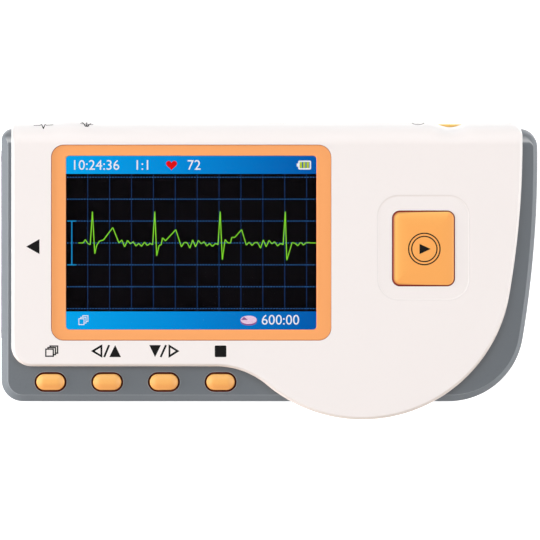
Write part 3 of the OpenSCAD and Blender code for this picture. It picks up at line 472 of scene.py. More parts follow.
# painted shade: a warm darker tone where the cover leans towards the front, on the bulge's lower rim
paintedLightByLean(coverPlastic, (0, -1, 0), 0.6, (222, 208, 199))
# painted shade and highlight along the well's outline, from the piece's seam attribute
scaleTone(coverPlastic, "seam")
# painted highlight on the sides of the keys that face the top, painted shade on those that face the front
paintedLightByLean(keyPlastic, (-0.2, 1, 0), 0.3, (253, 190, 105))
paintedLightByLean(keyPlastic, (0, -1, 0), 0.3, (245, 166, 86))
# painted highlight on the measure button's sides that face the top left
paintedLightByLean(measurePlastic, (-0.8, 0.6, 0), 0.2, (255, 206, 114))
inkPrint = plastic("inkPrint", finishes["ink"], 0.5, grainDepth=5e-7, drift=0.1, specular=0.2)
darkPlastic = plastic("darkPlastic", (34, 34, 37), 0.5, drift=0.15)
palePlastic = plastic("palePlastic", (226, 222, 208), 0.5, drift=0.05)
electrodeSteel = metal("electrodeSteel", (204, 206, 208), 0.26, across=(12000, 300, 12000))
endSteel = metal("endSteel", (204, 206, 208), 0.26, across=(12000, 300, 12000))
tinnedSteel = metal("tinnedSteel", (206, 207, 208), 0.3, across=(4000, 4000, 4000))
screwSteel = metal("screwSteel", (168, 169, 172), 0.34, across=(5000, 5000, 5000))
goldContact = metal("goldContact", (224, 186, 96), 0.3, across=(4000, 4000, 4000))
print("finishes made")

# ---- the body: what the grey shells share

frameLow, frameHigh = nodeBox("front_frame")
coverLow, coverHigh = nodeBox("front_cover")
body = {
    "endRadius": 254.0,
    "endPeak": 7.3,  # from the top edge down to the widest point of the right end
    "cornerBottomLeft": 5.0,
    "cornerBottomRight": 17.5,
    "cornerTopRight": 4.2,
    "cornerTopLeft": 2.5,
    "slopeLeft": 1.5,
    "slopeRight": 0.9,
    "slopeBottom": 1.45,
    "slopeHeight": 1.5,
    "rollWidth": 4.05,
    "rollHeight": 4.9,
    "backRoundWidth": 2.6,
    "backRoundHeight": 3.2,
    "wall": 1.6,
    "facePlate": 1.4,
    "slotFrom": 28.0,  # level in Y at which the power button's slot begins
}
bodyLeft, bodyRight = frameLow.x, frameHigh.x
bodyBottom, bodyTop = frameLow.y, frameHigh.y
partingZ, faceZ = frameLow.z, frameHigh.z
endCentre = (bodyRight - body["endRadius"], bodyTop - body["endPeak"])
smallest = 0.3  # no corner gets a smaller radius
power = {"rim": 0.5, "round": 0.35, "flange": 0.9, "fall": 0.05, "flat": 1.1}  # rim: round its cap

cover = {
    "keyStrip": 8.15,
    "swellHeight": 0.45,
    "swellWidth": 14.0,
    "dipDepth": 1.1,
    "dipWidth": 10.3,
    "bulgeRadius": 34.75,
    "bulgeSetback": 2.6,
    "waveRadius": 18.5,
    "endRadius": 205.0,
    "cornerBottomLeft": 4.7,
    "cornerTopLeft": 1.6,
    "cornerTopRight": 3.0,
    "rollWidth": 5.3,
    "rollHeight": 5.5,
    "rimRadius": 0.75,
    "skirtWall": 1.5,
    "borderGap": 0.03,
    "borderRadius": 3.0,
    "lip": 0.05,  # rounding of the edges of its openings
    "wellWidth": 21.7,
    "wellHeight": 24.7,
    "wellUp": 0.2,  # from the middle of the measure button
    "wellRadius": 5.0,
    "wellDepth": 0.08,
    "wellSlope": 0.5,
    "seamPaintedShade": 0.93,  # painted shade of the well's outline; less dark at the top, darker at the right
    "seamShadeTopLift": 0.035,
    "seamShadeRightDeepen": 0.05,
    "seamPaintedHighlight": 0.01,
    "measureGap": 0.04,
    "powerGap": 0.15,
    "portGap": 0.3,
}
coverTop = coverHigh.y - cover["swellHeight"]
coverBottom = bodyBottom + cover["keyStrip"]
bulgeCentre = (
    coverHigh.x - cover["bulgeSetback"] - cover["bulgeRadius"],
    coverLow.y + cover["bulgeRadius"],
)
waveCentreY = coverBottom - cover["waveRadius"]
waveReach = cover["waveRadius"] + cover["bulgeRadius"]
waveCentre = (
    bulgeCentre[0] - math.sqrt(waveReach**2 - (bulgeCentre[1] - waveCentreY) ** 2),
    waveCentreY,
)
waveTurn = math.degrees(math.atan2(bulgeCentre[1] - waveCentre[1], bulgeCentre[0] - waveCentre[0]))
endReach = cover["endRadius"] - cover["bulgeRadius"]
joinTurn = -math.degrees(math.acos(1 - cover["bulgeSetback"] / endReach))
coverEndCentre = (
    bulgeCentre[0] - endReach * math.cos(math.radians(joinTurn)),
    bulgeCentre[1] - endReach * math.sin(math.radians(joinTurn)),
)
powerLow, powerHigh = nodeBox("power_button")
socketLow, socketHigh = nodeBox("lead_socket")
powerX = (powerLow.x + powerHigh.x) / 2
powerZ = (powerLow.z + powerHigh.z) / 2
portX = (socketLow.x + socketHigh.x) / 2
portZ = (socketLow.z + socketHigh.z) / 2


def cornerIn(centre, bigRadius, radius, y):  # corner that touches y and the inside of a big circle
    return (centre[0] + math.sqrt((bigRadius - radius) ** 2 - (y - centre[1]) ** 2), y)


def turnFrom(centre, point):
    return math.degrees(math.atan2(point[1] - centre[1], point[0] - centre[0]))


def bodyShape(left, right, top, bottom, bulge=0):
    x, y, t = bodyLeft + left, bodyBottom + bottom, bodyTop - top
    big = body["endRadius"] - right
    r1 = max(body["cornerBottomLeft"] - max(left, bottom), smallest)
    r2 = max(body["cornerBottomRight"] - max(right, bottom), smallest)
    r3 = max(body["cornerTopRight"] - max(right, top), smallest)
    r4 = max(body["cornerTopLeft"] - max(left, top), smallest)
    c2 = cornerIn(endCentre, big, r2, y + r2)
    c3 = cornerIn(endCentre, big, r3, t - r3)
    a2, a3 = turnFrom(endCentre, c2), turnFrom(endCentre, c3)
    points = arc((x + r1, y + r1), r1, 180, 270, 16)
    if bulge:
        turn = math.degrees(math.asin((y - bulgeCentre[1]) / bulge))
        points += arc(bulgeCentre, bulge, -180 - turn, turn, 48)
    points += arc(c2, r2, -90, a2, 40)
    points += arc(endCentre, big, a2, a3, 20, False)
    points += arc(c3, r3, a3, 90, 16)
    points += arc((x + r4, t - r4), r4, 90, 180, 12)
    return points


def pointsAcross(width):  # from its right end to its left
    return [width * i / 40 for i in range(20, -21, -1)]


def coverShape(inset, top, fade):
    x, y, t = coverLow.x + inset, coverBottom + inset, coverTop - top
    r1 = max(cover["cornerBottomLeft"] - inset, smallest)
    r3 = max(cover["cornerTopRight"] - max(inset, top), smallest)
    r4 = max(cover["cornerTopLeft"] - max(inset, top), smallest)
    c3 = cornerIn(coverEndCentre, cover["endRadius"] - inset, r3, t - r3)
    a3 = turnFrom(coverEndCentre, c3)
    points = arc((x + r1, y + r1), r1, 180, 270, 20)
    points += arc(waveCentre, cover["waveRadius"] + inset, 90, waveTurn, 20)
    points += arc(bulgeCentre, cover["bulgeRadius"] - inset, waveTurn - 180, joinTurn, 90, False)
    points += arc(coverEndCentre, cover["endRadius"] - inset, joinTurn, a3, 24)
    points += arc(c3, r3, a3, 90, 14, False)
    points += [(c3[0], t)]
    for x0, width, height in (
        (powerX, cover["dipWidth"], -cover["dipDepth"]), (portX, cover["swellWidth"], cover["swellHeight"])
    ):
        points += [(x0 + u, t + fade * height * hump(u, width)) for u in pointsAcross(width)]
    points += arc((x + r4, t - r4), r4, 90, 180, 10)
    return points


def openingCutter(name, shape, low, top, lip, steps=5):
    # a straight cutter whose mouth opens out in a quarter round, which rounds the edge it leaves
    rings, levels = [shape(0), shape(0)], [low, top - lip]
    for i in range(1, steps + 1):
        turn = math.pi / 2 * i / steps
        rings.append(shape(-lip * (1 - math.cos(turn))))
        levels.append(top - lip * (1 - math.sin(turn)))
    rings.append(shape(-lip))
    levels.append(top + 1)
    return loft(name, rings, levels)


# ---- front cover

borderLow, borderHigh = nodeBox("lens_border")
borderCentre = (borderLow + borderHigh) / 2
borderSize = borderHigh - borderLow
measureLow, measureHigh = nodeBox("measure_button")
measureCentre = (measureLow + measureHigh) / 2
# lean sets how much higher the painted shade on the cap's side stands towards its left
measure = {"flangeRim": 0.7, "round": 0.6, "radius": 1.8, "crown": 0.16, "lean": 0.008}
measureSize = measureHigh - measureLow - Vector((1, 1, 0)) * 2 * measure["flangeRim"]


def frameRoll(z):
    return quarter(body["rollWidth"], 1 - (faceZ - z) / body["rollHeight"])


def slopeShare(z):  # the slope with a small round at its foot and at its top
    steps = [
        (0, 0), (0.05, 0.015), (0.12, 0.07), (0.22, 0.17),
        (0.78, 0.81), (0.9, 0.93), (0.97, 1.0), (1, 1.07),
    ]
    share = 1 - (faceZ - z) / body["slopeHeight"]
    if share <= 0:
        return 0
    for (a, first), (b, second) in zip(steps, steps[1:]):
        if share <= b:
            return first + (second - first) * (share - a) / (b - a)
    return steps[-1][1]


def sectionUnderCover():  # the grey body's section across X, as (y, z)
    rollSteps = [frameLow.z + (faceZ - frameLow.z) * i / 30 for i in range(30, 0, -1)]
    slopeSteps = [faceZ - body["slopeHeight"] * i / 10 for i in range(10, -1, -1)]
    points = [(bodyBottom, -5)]
    points += [(bodyBottom + body["slopeBottom"] * slopeShare(z), z) for z in slopeSteps]
    points += [(bodyTop - frameRoll(z), z) for z in rollSteps]
    return points + [(bodyTop, -5)]


def powerSlot(low):  # cuts the power button's way through the top edge, from a level inside
    grow = 2 * (cover["powerGap"] - power["rim"])
    shape = slotShape(powerHigh.x - powerLow.x + grow, powerHigh.z - powerLow.z + grow)
    return faceOut(turnInto(prism("powerSlot", shape, low, past), towardTop, (powerX, 0, powerZ)))


def makeCover():
    turns = (0, 8, 16, 24, 32, 40, 48, 55, 60, 64, 68, 72, 76, 80, 83, 86, 88, 90)
    rollTurns = [math.radians(a) for a in turns]
    levels = [coverLow.z, coverLow.z + 0.1, coverLow.z + 0.3]
    levels += [coverHigh.z - cover["rollHeight"] * (1 - math.sin(a)) for a in rollTurns]
    insets = [0.3, 0.1, 0] + [
        quarter(cover["rimRadius"], 1 - (coverHigh.z - z) / cover["rimRadius"]) for z in levels[3:]
    ]
    rolls = [0, 0, 0] + [quarter(cover["rollWidth"], math.sin(a)) for a in rollTurns]
    rings = [
        coverShape(inset, max(roll, inset), 1 - roll / cover["rollWidth"])
        for inset, roll in zip(insets, rolls)
    ]
    shell = loft("front_cover_shell", rings, levels)
    lip = cover["lip"]
    hollow = barAlongX("hollow", sectionUnderCover(), -past, past)
    bulge = prism(
        "bulge", arc(bulgeCentre, cover["bulgeRadius"] - cover["skirtWall"], 180, 360, 90), -5, faceZ
    )
    around = 2 * cover["borderGap"]
    window = openingCutter(
        "window",
        lambda inset: padAt(
            borderCentre, borderSize.x + around, borderSize.y + around, cover["borderRadius"], inset, 14
        ),
        0, coverHigh.z, lip,
    )
    wellFloor, gap = coverHigh.z - cover["wellDepth"], cover["measureGap"]
    button = openingCutter(
        "button",
        lambda inset: padAt(
            measureCentre, measureSize.x + 2 * gap, measureSize.y + 2 * gap, measure["radius"] + gap,
            inset, 12,
        ),
        0, wellFloor, lip,
    )
    # the well's side is a soft S from its floor to the cover's face
    soft = [i / 14 for i in range(15)]
    wellCentre = (measureCentre.x, measureCentre.y + cover["wellUp"])
    wellRings = [
        padAt(
            wellCentre, cover["wellWidth"], cover["wellHeight"], cover["wellRadius"],
            cover["wellSlope"] * (1 - s), 14,
        )
        for s in soft
    ]
    wellLevels = [wellFloor + cover["wellDepth"] * (3 * s * s - 2 * s**3) for s in soft]
    well = loft("well", wellRings + [wellRings[-1]], wellLevels + [coverHigh.z + 1])
    around = 2 * cover["portGap"]
    portShape = padShape(socketHigh.x - socketLow.x + around, socketHigh.z - socketLow.z + around, 0.9)
    portHole = faceOut(turnInto(prism("portHole", portShape, 0, past), towardTop, (portX, 0, portZ)))
    cutters = [hollow, bulge, window, button, well, powerSlot(bodyTop - body["wall"]), portHole]
    return smoothShell(combine(shell, cutters, "DIFFERENCE"), 30)


def paintSeamShadeAndHighlight(piece):  # the well's outline: a painted shade line at its rim, with a painted highlight beside it, both set as if lit from the top left
    r = cover["wellRadius"]
    halfWidth, halfHeight = cover["wellWidth"] / 2 - r, cover["wellHeight"] / 2 - r
    floor = coverHigh.z - cover["wellDepth"] + 0.001
    factor = piece.data.attributes.new("seam", "FLOAT", "FACE")
    for face, entry in zip(piece.data.polygons, factor.data):
        centre = face.center / mm
        x, y = centre.x - measureCentre.x, centre.y - measureCentre.y - cover["wellUp"]
        dx = math.copysign(max(abs(x) - halfWidth, 0), x)
        dy = math.copysign(max(abs(y) - halfHeight, 0), y)
        reach = math.hypot(dx, dy)
        share = (r - reach) / cover["wellSlope"]
        entry.value = 1
        if 0 < share < 1 and centre.z > floor:
            toRight, toTop = dx / reach, dy / reach
            dark = cover["seamPaintedShade"] + cover["seamShadeTopLift"] * max(toTop, 0)
            dark -= cover["seamShadeRightDeepen"] * max(toRight, 0)
            light = 1 + cover["seamPaintedHighlight"] * max(toTop - toRight, 0)
            entry.value = dark if share < 0.5 else light


coverShell = settle(makeCover(), "housing", coverPlastic, "white_cover", "front_cover")
paintSeamShadeAndHighlight(coverShell)
print("front cover:", len(coverShell.data.polygons), "faces")

# ---- front frame

key = {"round": 0.45, "gap": 0.4, "rim": 0.35, "flange": 0.6, "lip": 0.18, "dome": 0.3}
frameGaps = {"display": 0.3, "button": 0.4, "port": 0.3, "electrode": 0.1}
keyNames = ["menu_key", "left_up_key", "right_down_key", "stop_key"]


def makeFrame():
    levels = [partingZ, partingZ + 0.12]
    levels += [faceZ - body["rollHeight"] * (1 - math.sin(math.radians(a))) for a in range(0, 44, 6)]
    shares = (0, 0.05, 0.12, 0.22, 0.5, 0.78, 0.9, 0.97, 1)
    levels += [faceZ - body["slopeHeight"] * (1 - share) for share in shares]
    levels.sort()
    rings = []
    for z in levels:
        share = slopeShare(z)
        seam = 0.1 if z == partingZ else 0
        rings.append(
            bodyShape(
                max(share * body["slopeLeft"], seam), max(share * body["slopeRight"], seam),
                max(frameRoll(z), seam), max(share * body["slopeBottom"], seam),
            )
        )
    shell = loft("front_frame_shell", rings, levels)
    wall, plateZ = body["wall"], faceZ - body["facePlate"]
    innerTop = body["rollWidth"] - 0.4
    rollStart = faceZ - body["rollHeight"]
    hollow = loft(
        "hollow",
        [bodyShape(wall, wall, wall, wall)] * 2 + [bodyShape(wall, wall, innerTop, wall)] * 2,
        [partingZ - 1, rollStart, rollStart + 0.01, plateZ],
    )
    cutters = [hollow, leftRecess(), powerSlot(body["slotFrom"])]
    for name, node, centre, radius in (
        ("display", "lcd_backlight", borderCentre, 0.6), ("button", "measure_button", measureCentre, 2.5)
    ):
        low, high = nodeBox(node)
        around = 2 * frameGaps[name]
        shape = padAt(centre, high.x - low.x + around, high.y - low.y + around, radius)
        cutters.append(prism(name, shape, partingZ, faceZ + 5))
    for name in keyNames:
        low, high = nodeBox(name)
        centre, size = (low + high) / 2, high - low
        width, height = size.x - 2 * key["rim"], size.y - 2 * key["rim"]
        cutters.append(
            openingCutter(
                "slot", lambda inset: moved(slotShape(width, height, inset), centre.x, centre.y),
                partingZ, faceZ, key["lip"],
            )
        )
    gap = frameGaps["port"]
    port = block(
        "port",
        (socketLow.x - gap, bodyTop - body["rollWidth"] - 2, 0),
        (socketHigh.x + gap, bodyTop + 5, socketHigh.z + gap),
    )
    return smoothShell(combine(shell, cutters + [port], "DIFFERENCE"), 28)


plateLow, plateHigh = nodeBox("left_electrode")


def leftRecess():  # the left electrode's seat, cut into both halves of the body
    size, centre = plateHigh - plateLow, (plateLow + plateHigh) / 2
    around = 2 * frameGaps["electrode"]
    shape = padShape(size.y + around, size.z + around, 3.05)
    return turnInto(prism("recess", shape, bodyLeft - 2, plateHigh.x), towardEnd, (0, centre.y, centre.z))


frameShell = settle(makeFrame(), "housing", casePlastic, "grey_case", "front_frame")
print("front frame:", len(frameShell.data.polygons), "faces")

# ---- what repeats: one tree for each way of setting out copies of a small shape


def repeatTree(kind):  # kind is row, grid, ring or places (the points of the object itself)
    tree = bpy.data.node_groups.new("repeat" + kind.capitalize(), "GeometryNodeTree")
    face = tree.interface
    face.new_socket(name="Geometry", in_out="INPUT", socket_type="NodeSocketGeometry")
    face.new_socket(name="Shape", in_out="INPUT", socket_type="NodeSocketObject")
    face.new_socket(name="Finish", in_out="INPUT", socket_type="NodeSocketMaterial")
    entry = tree.nodes.new("NodeGroupInput")
    wanted = {  # the node that sets out the points, and its inputs under plainer names
        "row": (
            "GeometryNodeMeshLine",
            {
                "Count": ("Int", "Count"), "Start": ("Vector", "Start Location"),
                "Step": ("Vector", "Offset"),
            },
        ),
        "grid": (
            "GeometryNodeMeshGrid",
            {
                "Width": ("Float", "Size X"), "Height": ("Float", "Size Y"),
                "Columns": ("Int", "Vertices X"), "Rows": ("Int", "Vertices Y"),
            },
        ),
        "ring": ("GeometryNodeMeshCircle", {"Count": ("Int", "Vertices"), "Radius": ("Float", "Radius")}),
        "places": (None, {}),
    }
    pointKind, inputs = wanted[kind]
    for name, (what, _) in inputs.items():
        face.new_socket(name=name, in_out="INPUT", socket_type="NodeSocket" + what)
    face.new_socket(name="Geometry", in_out="OUTPUT", socket_type="NodeSocketGeometry")
    points = entry.outputs["Geometry"]
    if pointKind:
        maker = tree.nodes.new(pointKind)
        for name, (_, socketName) in inputs.items():
            tree.links.new(entry.outputs[name], maker.inputs[socketName])
        points = maker.outputs[0]
    shape = tree.nodes.new("GeometryNodeObjectInfo")
    copies = tree.nodes.new("GeometryNodeInstanceOnPoints")
    real = tree.nodes.new("GeometryNodeRealizeInstances")
    finish = tree.nodes.new("GeometryNodeSetMaterial")
    leave = tree.nodes.new("NodeGroupOutput")
    linkNodes(
        tree,
        (points, copies.inputs["Points"]),
        (entry.outputs["Shape"], shape.inputs["Object"]),
        (shape.outputs["Geometry"], copies.inputs["Instance"]),
        (copies.outputs["Instances"], real.inputs["Geometry"]),
        (real.outputs["Geometry"], finish.inputs["Geometry"]),
        (entry.outputs["Finish"], finish.inputs["Material"]),
        (finish.outputs["Geometry"], leave.inputs["Geometry"]),
    )
    return tree


repeatTrees = {kind: repeatTree(kind) for kind in ("row", "grid", "ring", "places")}


def repeated(name, kind, shape, material, values=None, places=(), centre=(0, 0, 0)):
    tree = repeatTrees[kind]
    piece = meshFrom(name, [tuple(p) for p in places] or [(0, 0, 0)], [])
    change = piece.modifiers.new("repeat", "NODES")
    change.node_group = tree
    given = {"Shape": shape, "Finish": material, **(values or {})}
    for item in tree.interface.items_tree:
        if item.in_out == "INPUT" and item.name in given:
            change[item.identifier] = given[item.name]
    piece.update_tag()
    bpy.context.view_layer.update()
    bakeModifiers(piece)
    bpy.data.objects.remove(shape)
    piece.data.transform(Matrix.Translation(centre))
    return piece


def peg(name, centre, diameter, low, high, count=32):
    return prism(name, circle(centre, diameter / 2, count), low, high)


def flip(piece, level=0):  # upside down about a level, for what opens downwards
    piece.data.transform(Matrix.Translation((0, 0, 2 * level)) @ Matrix.Scale(-1, 4, (0, 0, 1)))
    piece.data.flip_normals()
    return piece


# ---- rear case

doorLow, doorHigh = nodeBox("battery_door")
fingerLow, fingerHigh = nodeBox("finger_electrode")
palmLow, palmHigh = nodeBox("palm_electrode")
screwLow, screwHigh = nodeBox("case_screws")
buzzerLow, buzzerHigh = nodeBox("buzzer")
rear = {
    "bulgeRadius": cover["bulgeRadius"] - cover["skirtWall"] - 0.1,
    "screwHole": 4.2,
    "screwSeat": 3.5,
    "screwShaft": 2.3,
    "bossDiameter": 4.8,
    "bossesLeft": (4.8, 4.8, 5.3),  # from the left side, the bottom and the top
    "bossRight": (6.0, 5.9),  # from the right end and the top
    "bossBulge": (22.9, 8.6),  # from the middle of the bulge and the bottom
    "soundHole": 1.2,
    "soundRing": 3.0,
    "lip": 0.2,
}
bay = {
    "length": 50.5,
    "width": 22.0,
    "fromBottom": 2.75,
    "wall": 1.0,
    "roof": 0.6,
    "top": 12.6,
    "tongueLevel": 0.85,
    "tongueTop": 1.6,
    "ledge": 0.9,
    "ledgeWidth": 1.2,
    "doorWidth": 51.9,
    "doorGap": 0.2,
    "lipHeight": 7.2,
    "lipDepth": 1.6,
}
bayX = (doorLow.x + doorHigh.x) / 2
bayBottom = bodyBottom + bay["fromBottom"]
screwPlaces = [
    (bodyLeft + rear["bossesLeft"][0], bodyBottom + rear["bossesLeft"][1]),
    (bodyLeft + rear["bossesLeft"][0], bodyTop - rear["bossesLeft"][2]),
    (bodyRight - rear["bossRight"][0], bodyTop - rear["bossRight"][1]),
    (bulgeCentre[0] + rear["bossBulge"][0], bodyBottom + rear["bossBulge"][1]),
]
buzzerCentre = ((buzzerLow.x + buzzerHigh.x) / 2, (buzzerLow.y + buzzerHigh.y) / 2)


def evenShape(inset):
    return bodyShape(inset, inset, inset, inset, rear["bulgeRadius"] - inset)


def backInset(z):
    share = 1 - z / body["backRoundHeight"]
    return quarter(body["backRoundWidth"], share) if z < body["backRoundHeight"] else 0


def backLevels():
    return [body["backRoundHeight"] * (1 - math.cos(math.radians(a))) for a in range(0, 91, 9)]


def roundPlate(low, high, grow=0.0, radius=5.0, inset=0.0, count=10):
    size = high - low
    return padAt((low + high) / 2, size.x + 2 * grow, size.y + 2 * grow, radius, inset, count)


def makeCase():
    levels = backLevels() + [partingZ - 0.12, partingZ]
    insets = [backInset(z) for z in levels[:-1]] + [0.1]
    shell = loft("rear_case_shell", [evenShape(i) for i in insets], levels)
    combine(shell, [prism("inside", evenShape(body["wall"]), body["wall"], past)], "DIFFERENCE")
    half, top, wall = bay["length"] / 2, bay["top"], bay["wall"]
    bayTop = bayBottom + bay["width"]
    tongueHalf = (doorHigh.x - doorLow.x) / 2
    additions = [
        block(
            "bay", (bayX - half - wall, bayBottom - wall, 0.5),
            (bayX + half + wall, bayTop + wall, top + bay["roof"]),
        ),
        block(
            "ledge", (bayX - tongueHalf - bay["ledgeWidth"], bayBottom, body["wall"] - bite),
            (
                bayX + tongueHalf + bay["ledgeWidth"], doorHigh.y + bay["ledgeWidth"],
                bay["tongueTop"] + bay["ledge"],
            ),
        ),
    ]
    additions += [
        peg("boss", place, rear["bossDiameter"], body["wall"] - bite, partingZ) for place in screwPlaces
    ]
    combine(shell, additions, "UNION")
    gap, doorHalf = bay["doorGap"], bay["doorWidth"] / 2
    cuts = [
        block("room", (bayX - half, bayBottom, -1), (bayX + half, bayTop, top)),
        block(
            "way", (bayX - doorHalf - gap, -past, -1),
            (bayX + doorHalf + gap, doorHigh.y - 1 + gap, bay["tongueLevel"]),
        ),
        block(
            "groove", (bayX - tongueHalf - gap, -past, bay["tongueLevel"] - bite),
            (bayX + tongueHalf + gap, doorHigh.y + gap, bay["tongueTop"]),
        ),
        block(
            "lipWay", (bayX - doorHalf - gap, -past, -1),
            (bayX + doorHalf + gap, bodyBottom + bay["lipDepth"], bay["lipHeight"]),
        ),
        leftRecess(),
    ]
    for place in screwPlaces:
        hole = openingCutter(
            "hole", lambda inset: circle(place, rear["screwHole"] / 2 - inset, 40),
            -rear["screwSeat"], 0, rear["lip"],
        )
        cuts += [flip(hole), peg("shaft", place, rear["screwShaft"], -1, past)]
    for low, high in ((fingerLow, fingerHigh), (palmLow, palmHigh)):
        recess = openingCutter(
            "recess", lambda inset: roundPlate(low, high, 0.1, 5.1, inset), -high.z, 0, rear["lip"]
        )
        cuts.append(flip(recess))
    hole = flip(
        openingCutter(
            "sound", lambda inset: circle((0, 0), rear["soundHole"] / 2 - inset, 18), -3, 0, 0.12, 3
        )
    )
    middle = peg("middle", buzzerCentre, rear["soundHole"], -1, 3, 18)
    ring = repeated(
        "ring", "ring", hole, casePlastic, {"Count": 6, "Radius": rear["soundRing"]},
        centre=(buzzerCentre[0], buzzerCentre[1], 0),
    )
    combine(shell, cuts + [middle, ring], "DIFFERENCE")
    middleY = bayBottom + bay["width"] / 2  # the rib keeps the two cells apart
    reach = half - 6
    rib = block("rib", (bayX - reach, middleY - 0.4, top - 2), (bayX + reach, middleY + 0.4, top + bite))
    return smoothShell(combine(shell, [rib], "UNION"), 30)


caseShell = settle(makeCase(), "housing", casePlastic, "grey_case", "rear_case")
print("rear case:", len(caseShell.data.polygons), "faces")

# ---- battery door

door = {
    "plate": 1.5, "edge": 0.15, "lipWall": 1.3, "lipHeight": 7.0, "tongue": 0.85,
    "gripWidth": 12.0, "gripHeight": 0.65, "gripDepth": 0.3,
    "gripStep": 1.3, "gripCount": 6, "gripFrom": 8.0,
}


def makeDoor():
    half, tongueHalf = bay["doorWidth"] / 2, (doorHigh.x - doorLow.x) / 2
    edge, lipTop, lipIn = door["edge"], door["lipHeight"], bodyBottom + door["lipWall"]
    plateEnd = doorHigh.y - 1
    profile = [(bodyBottom + backInset(z), z) for z in backLevels()]
    profile += [
        (bodyBottom, lipTop - edge), (bodyBottom + edge, lipTop),
        (lipIn - edge, lipTop), (lipIn, lipTop - edge), (lipIn, door["plate"]),
        (plateEnd, door["plate"]), (plateEnd, edge), (plateEnd - edge, 0),
    ]
    plate = faceOut(barAlongX("battery_door_plate", profile, bayX - half, bayX + half))
    plate = roundEdges(plate, 0.12, 55, 2)
    tongue = block(
        "tongue", (bayX - tongueHalf, bodyBottom + 3, door["tongue"]),
        (bayX + tongueHalf, doorHigh.y, door["plate"]),
    )
    combine(plate, [tongue], "UNION")
    groove = flip(
        openingCutter(
            "groove", lambda inset: slotShape(door["gripWidth"], door["gripHeight"], inset),
            -door["gripDepth"], 0, 0.12, 4,
        )
    )
    grooves = repeated(
        "grooves", "row", groove, casePlastic,
        {"Count": door["gripCount"], "Start": (0, 0, 0), "Step": (0, door["gripStep"], 0)},
        centre=(bayX, bodyBottom + door["gripFrom"], 0),
    )
    return smoothShell(combine(plate, [grooves], "DIFFERENCE"), 30)


doorPiece = settle(makeDoor(), "battery_door_body", casePlastic, "grey_case", "battery_door")
print("battery door:", len(doorPiece.data.polygons), "faces")

# ---- display: border, lens and panel

window = {"width": 58.4, "height": 40.5, "radius": 0.8, "lens": 19.35, "rebate": 1.0, "edge": 0.24}


def makeBorder():
    top = borderHigh.z
    insets, levels = roundOver(window["edge"], top, 18)
    rings = [padShape(borderSize.x, borderSize.y, cover["borderRadius"], i, 14) for i in [0] + insets]
    shell = loft("lens_border_frame", rings, [borderLow.z] + levels)
    opening = openingCutter(
        "opening", lambda inset: padShape(window["width"], window["height"], window["radius"], inset, 8),
        0, top, 0.22,
    )
    rebate = prism(
        "rebate",
        padShape(window["width"] + 2 * window["rebate"], window["height"] + 2 * window["rebate"], 0.5),
        0, window["lens"],
    )
    combine(shell, [opening, rebate], "DIFFERENCE")
    shell.data.transform(Matrix.Translation((borderCentre.x, borderCentre.y, 0)))
    return smoothShell(shell, 32)


settle(makeBorder(), "housing", borderPlastic, "orange_trim", "lens_border")

lensLow, lensHigh = nodeBox("display_lens")
lensPiece = loft(
    "display_lens_plate",
    [roundPlate(lensLow, lensHigh, 0, 0.35, i) for i in (0.08, 0, 0, 0.08)],
    [lensLow.z, lensLow.z + 0.08, lensHigh.z - 0.08, lensHigh.z],
)
clearLens, tree, shader = newMaterial("clearLens")
setInputs(shader, {"Transmission Weight": 1, "IOR": 1.2, "Base Color": (0.97, 0.975, 0.98, 1)})
haze = addGrain(tree, driftSize=120)
tree.links.new(remap(tree, haze["Drift"], 0.0, 0.02), shader.inputs["Roughness"])
lensPiece = settle(smoothShell(lensPiece), "housing", clearLens, "clear_lens", "display_lens")

panelLow, panelHigh = nodeBox("lcd_panel")
panel = {"step": 0.45, "upper": 0.6, "bevel": 0.06}


def makePanel():  # a lower glass and a slightly smaller upper one, with ground edges
    middle, b = panelHigh.z - panel["upper"], panel["bevel"]
    insets = [b, 0, 0, b, panel["step"], panel["step"], panel["step"] + b]
    levels = [panelLow.z, panelLow.z + b, middle - b, middle, middle, panelHigh.z - b, panelHigh.z]
    rings = [roundPlate(panelLow, panelHigh, 0, 0.7, i) for i in insets]
    return smoothShell(loft("lcd_glass", rings, levels))


panelBlack = plastic("panelBlack", (14, 10, 14), 0.16, grainDepth=1e-7, drift=0.2, specular=0.1)
settle(makePanel(), "housing", panelBlack, "display_glass", "lcd_panel")
print("display made")

# ---- the picture on the display: thin lit shapes on the upper glass

picture = {
    "bar": 4.2,  # height of the bars at the top and the bottom
    "rows": 7,
    "gridStep": 5.105,
    "gridFirst": 5.06,  # from the left edge to the first upright line
    "gridDown": 5.0,  # from the top edge to the first level line
    "dot": (0.34, 0.2),
    "dotStep": 0.659,
    "dotShift": 0.2,
    "fineDot": 0.16,
    "fineStep": 0.27,  # between the dots of the upright lines
    "traceLine": 0.22,
    "thick": 0.012,
    "trembleStep": 0.66,
    "beatFirst": 6.15,
    "beatSteps": (0, 14.55, 29.8, 44.98),  # from the first peak to each peak
    "scale": (1.35, 1.0, 0.13, 0.12),  # the scale bar: from the left, half width, half of each line
    "figure": 3.3,  # height of the figures
    "battery": (2.75, 2.15),  # from the right and the top
    "sheets": (3.0, 1.15),  # from the left and the bottom
    "heart": (24.6, 2.1),  # from the left and the top
    "heartScale": (0.081, 0.078),
    "pie": (15.8, 2.15),  # from the right and the bottom
    "pieHalf": 1.9,
}
glow = {
    "trace": ((136, 225, 46), 1.04),
    "grid": ((44, 108, 180), 1.0),
    "fine": ((25, 70, 130), 1.0),
    "mark": ((20, 150, 215), 1.0),
    "white": ((248, 250, 252), 1.0),
    "heart": ((236, 12, 16), 1.0),
    "pink": ((246, 210, 236), 1.0),
    "plum": ((150, 92, 150), 1.0),
    "green": ((196, 214, 40), 1.0),
}
barTones = [(0, 165, 238), (0, 134, 214), (0, 88, 172)]  # a bar's left end, middle and right end
screenZ = panelHigh.z
screenLeft = borderCentre.x - window["width"] / 2
screenRight = borderCentre.x + window["width"] / 2
screenTop = borderCentre.y + window["height"] / 2
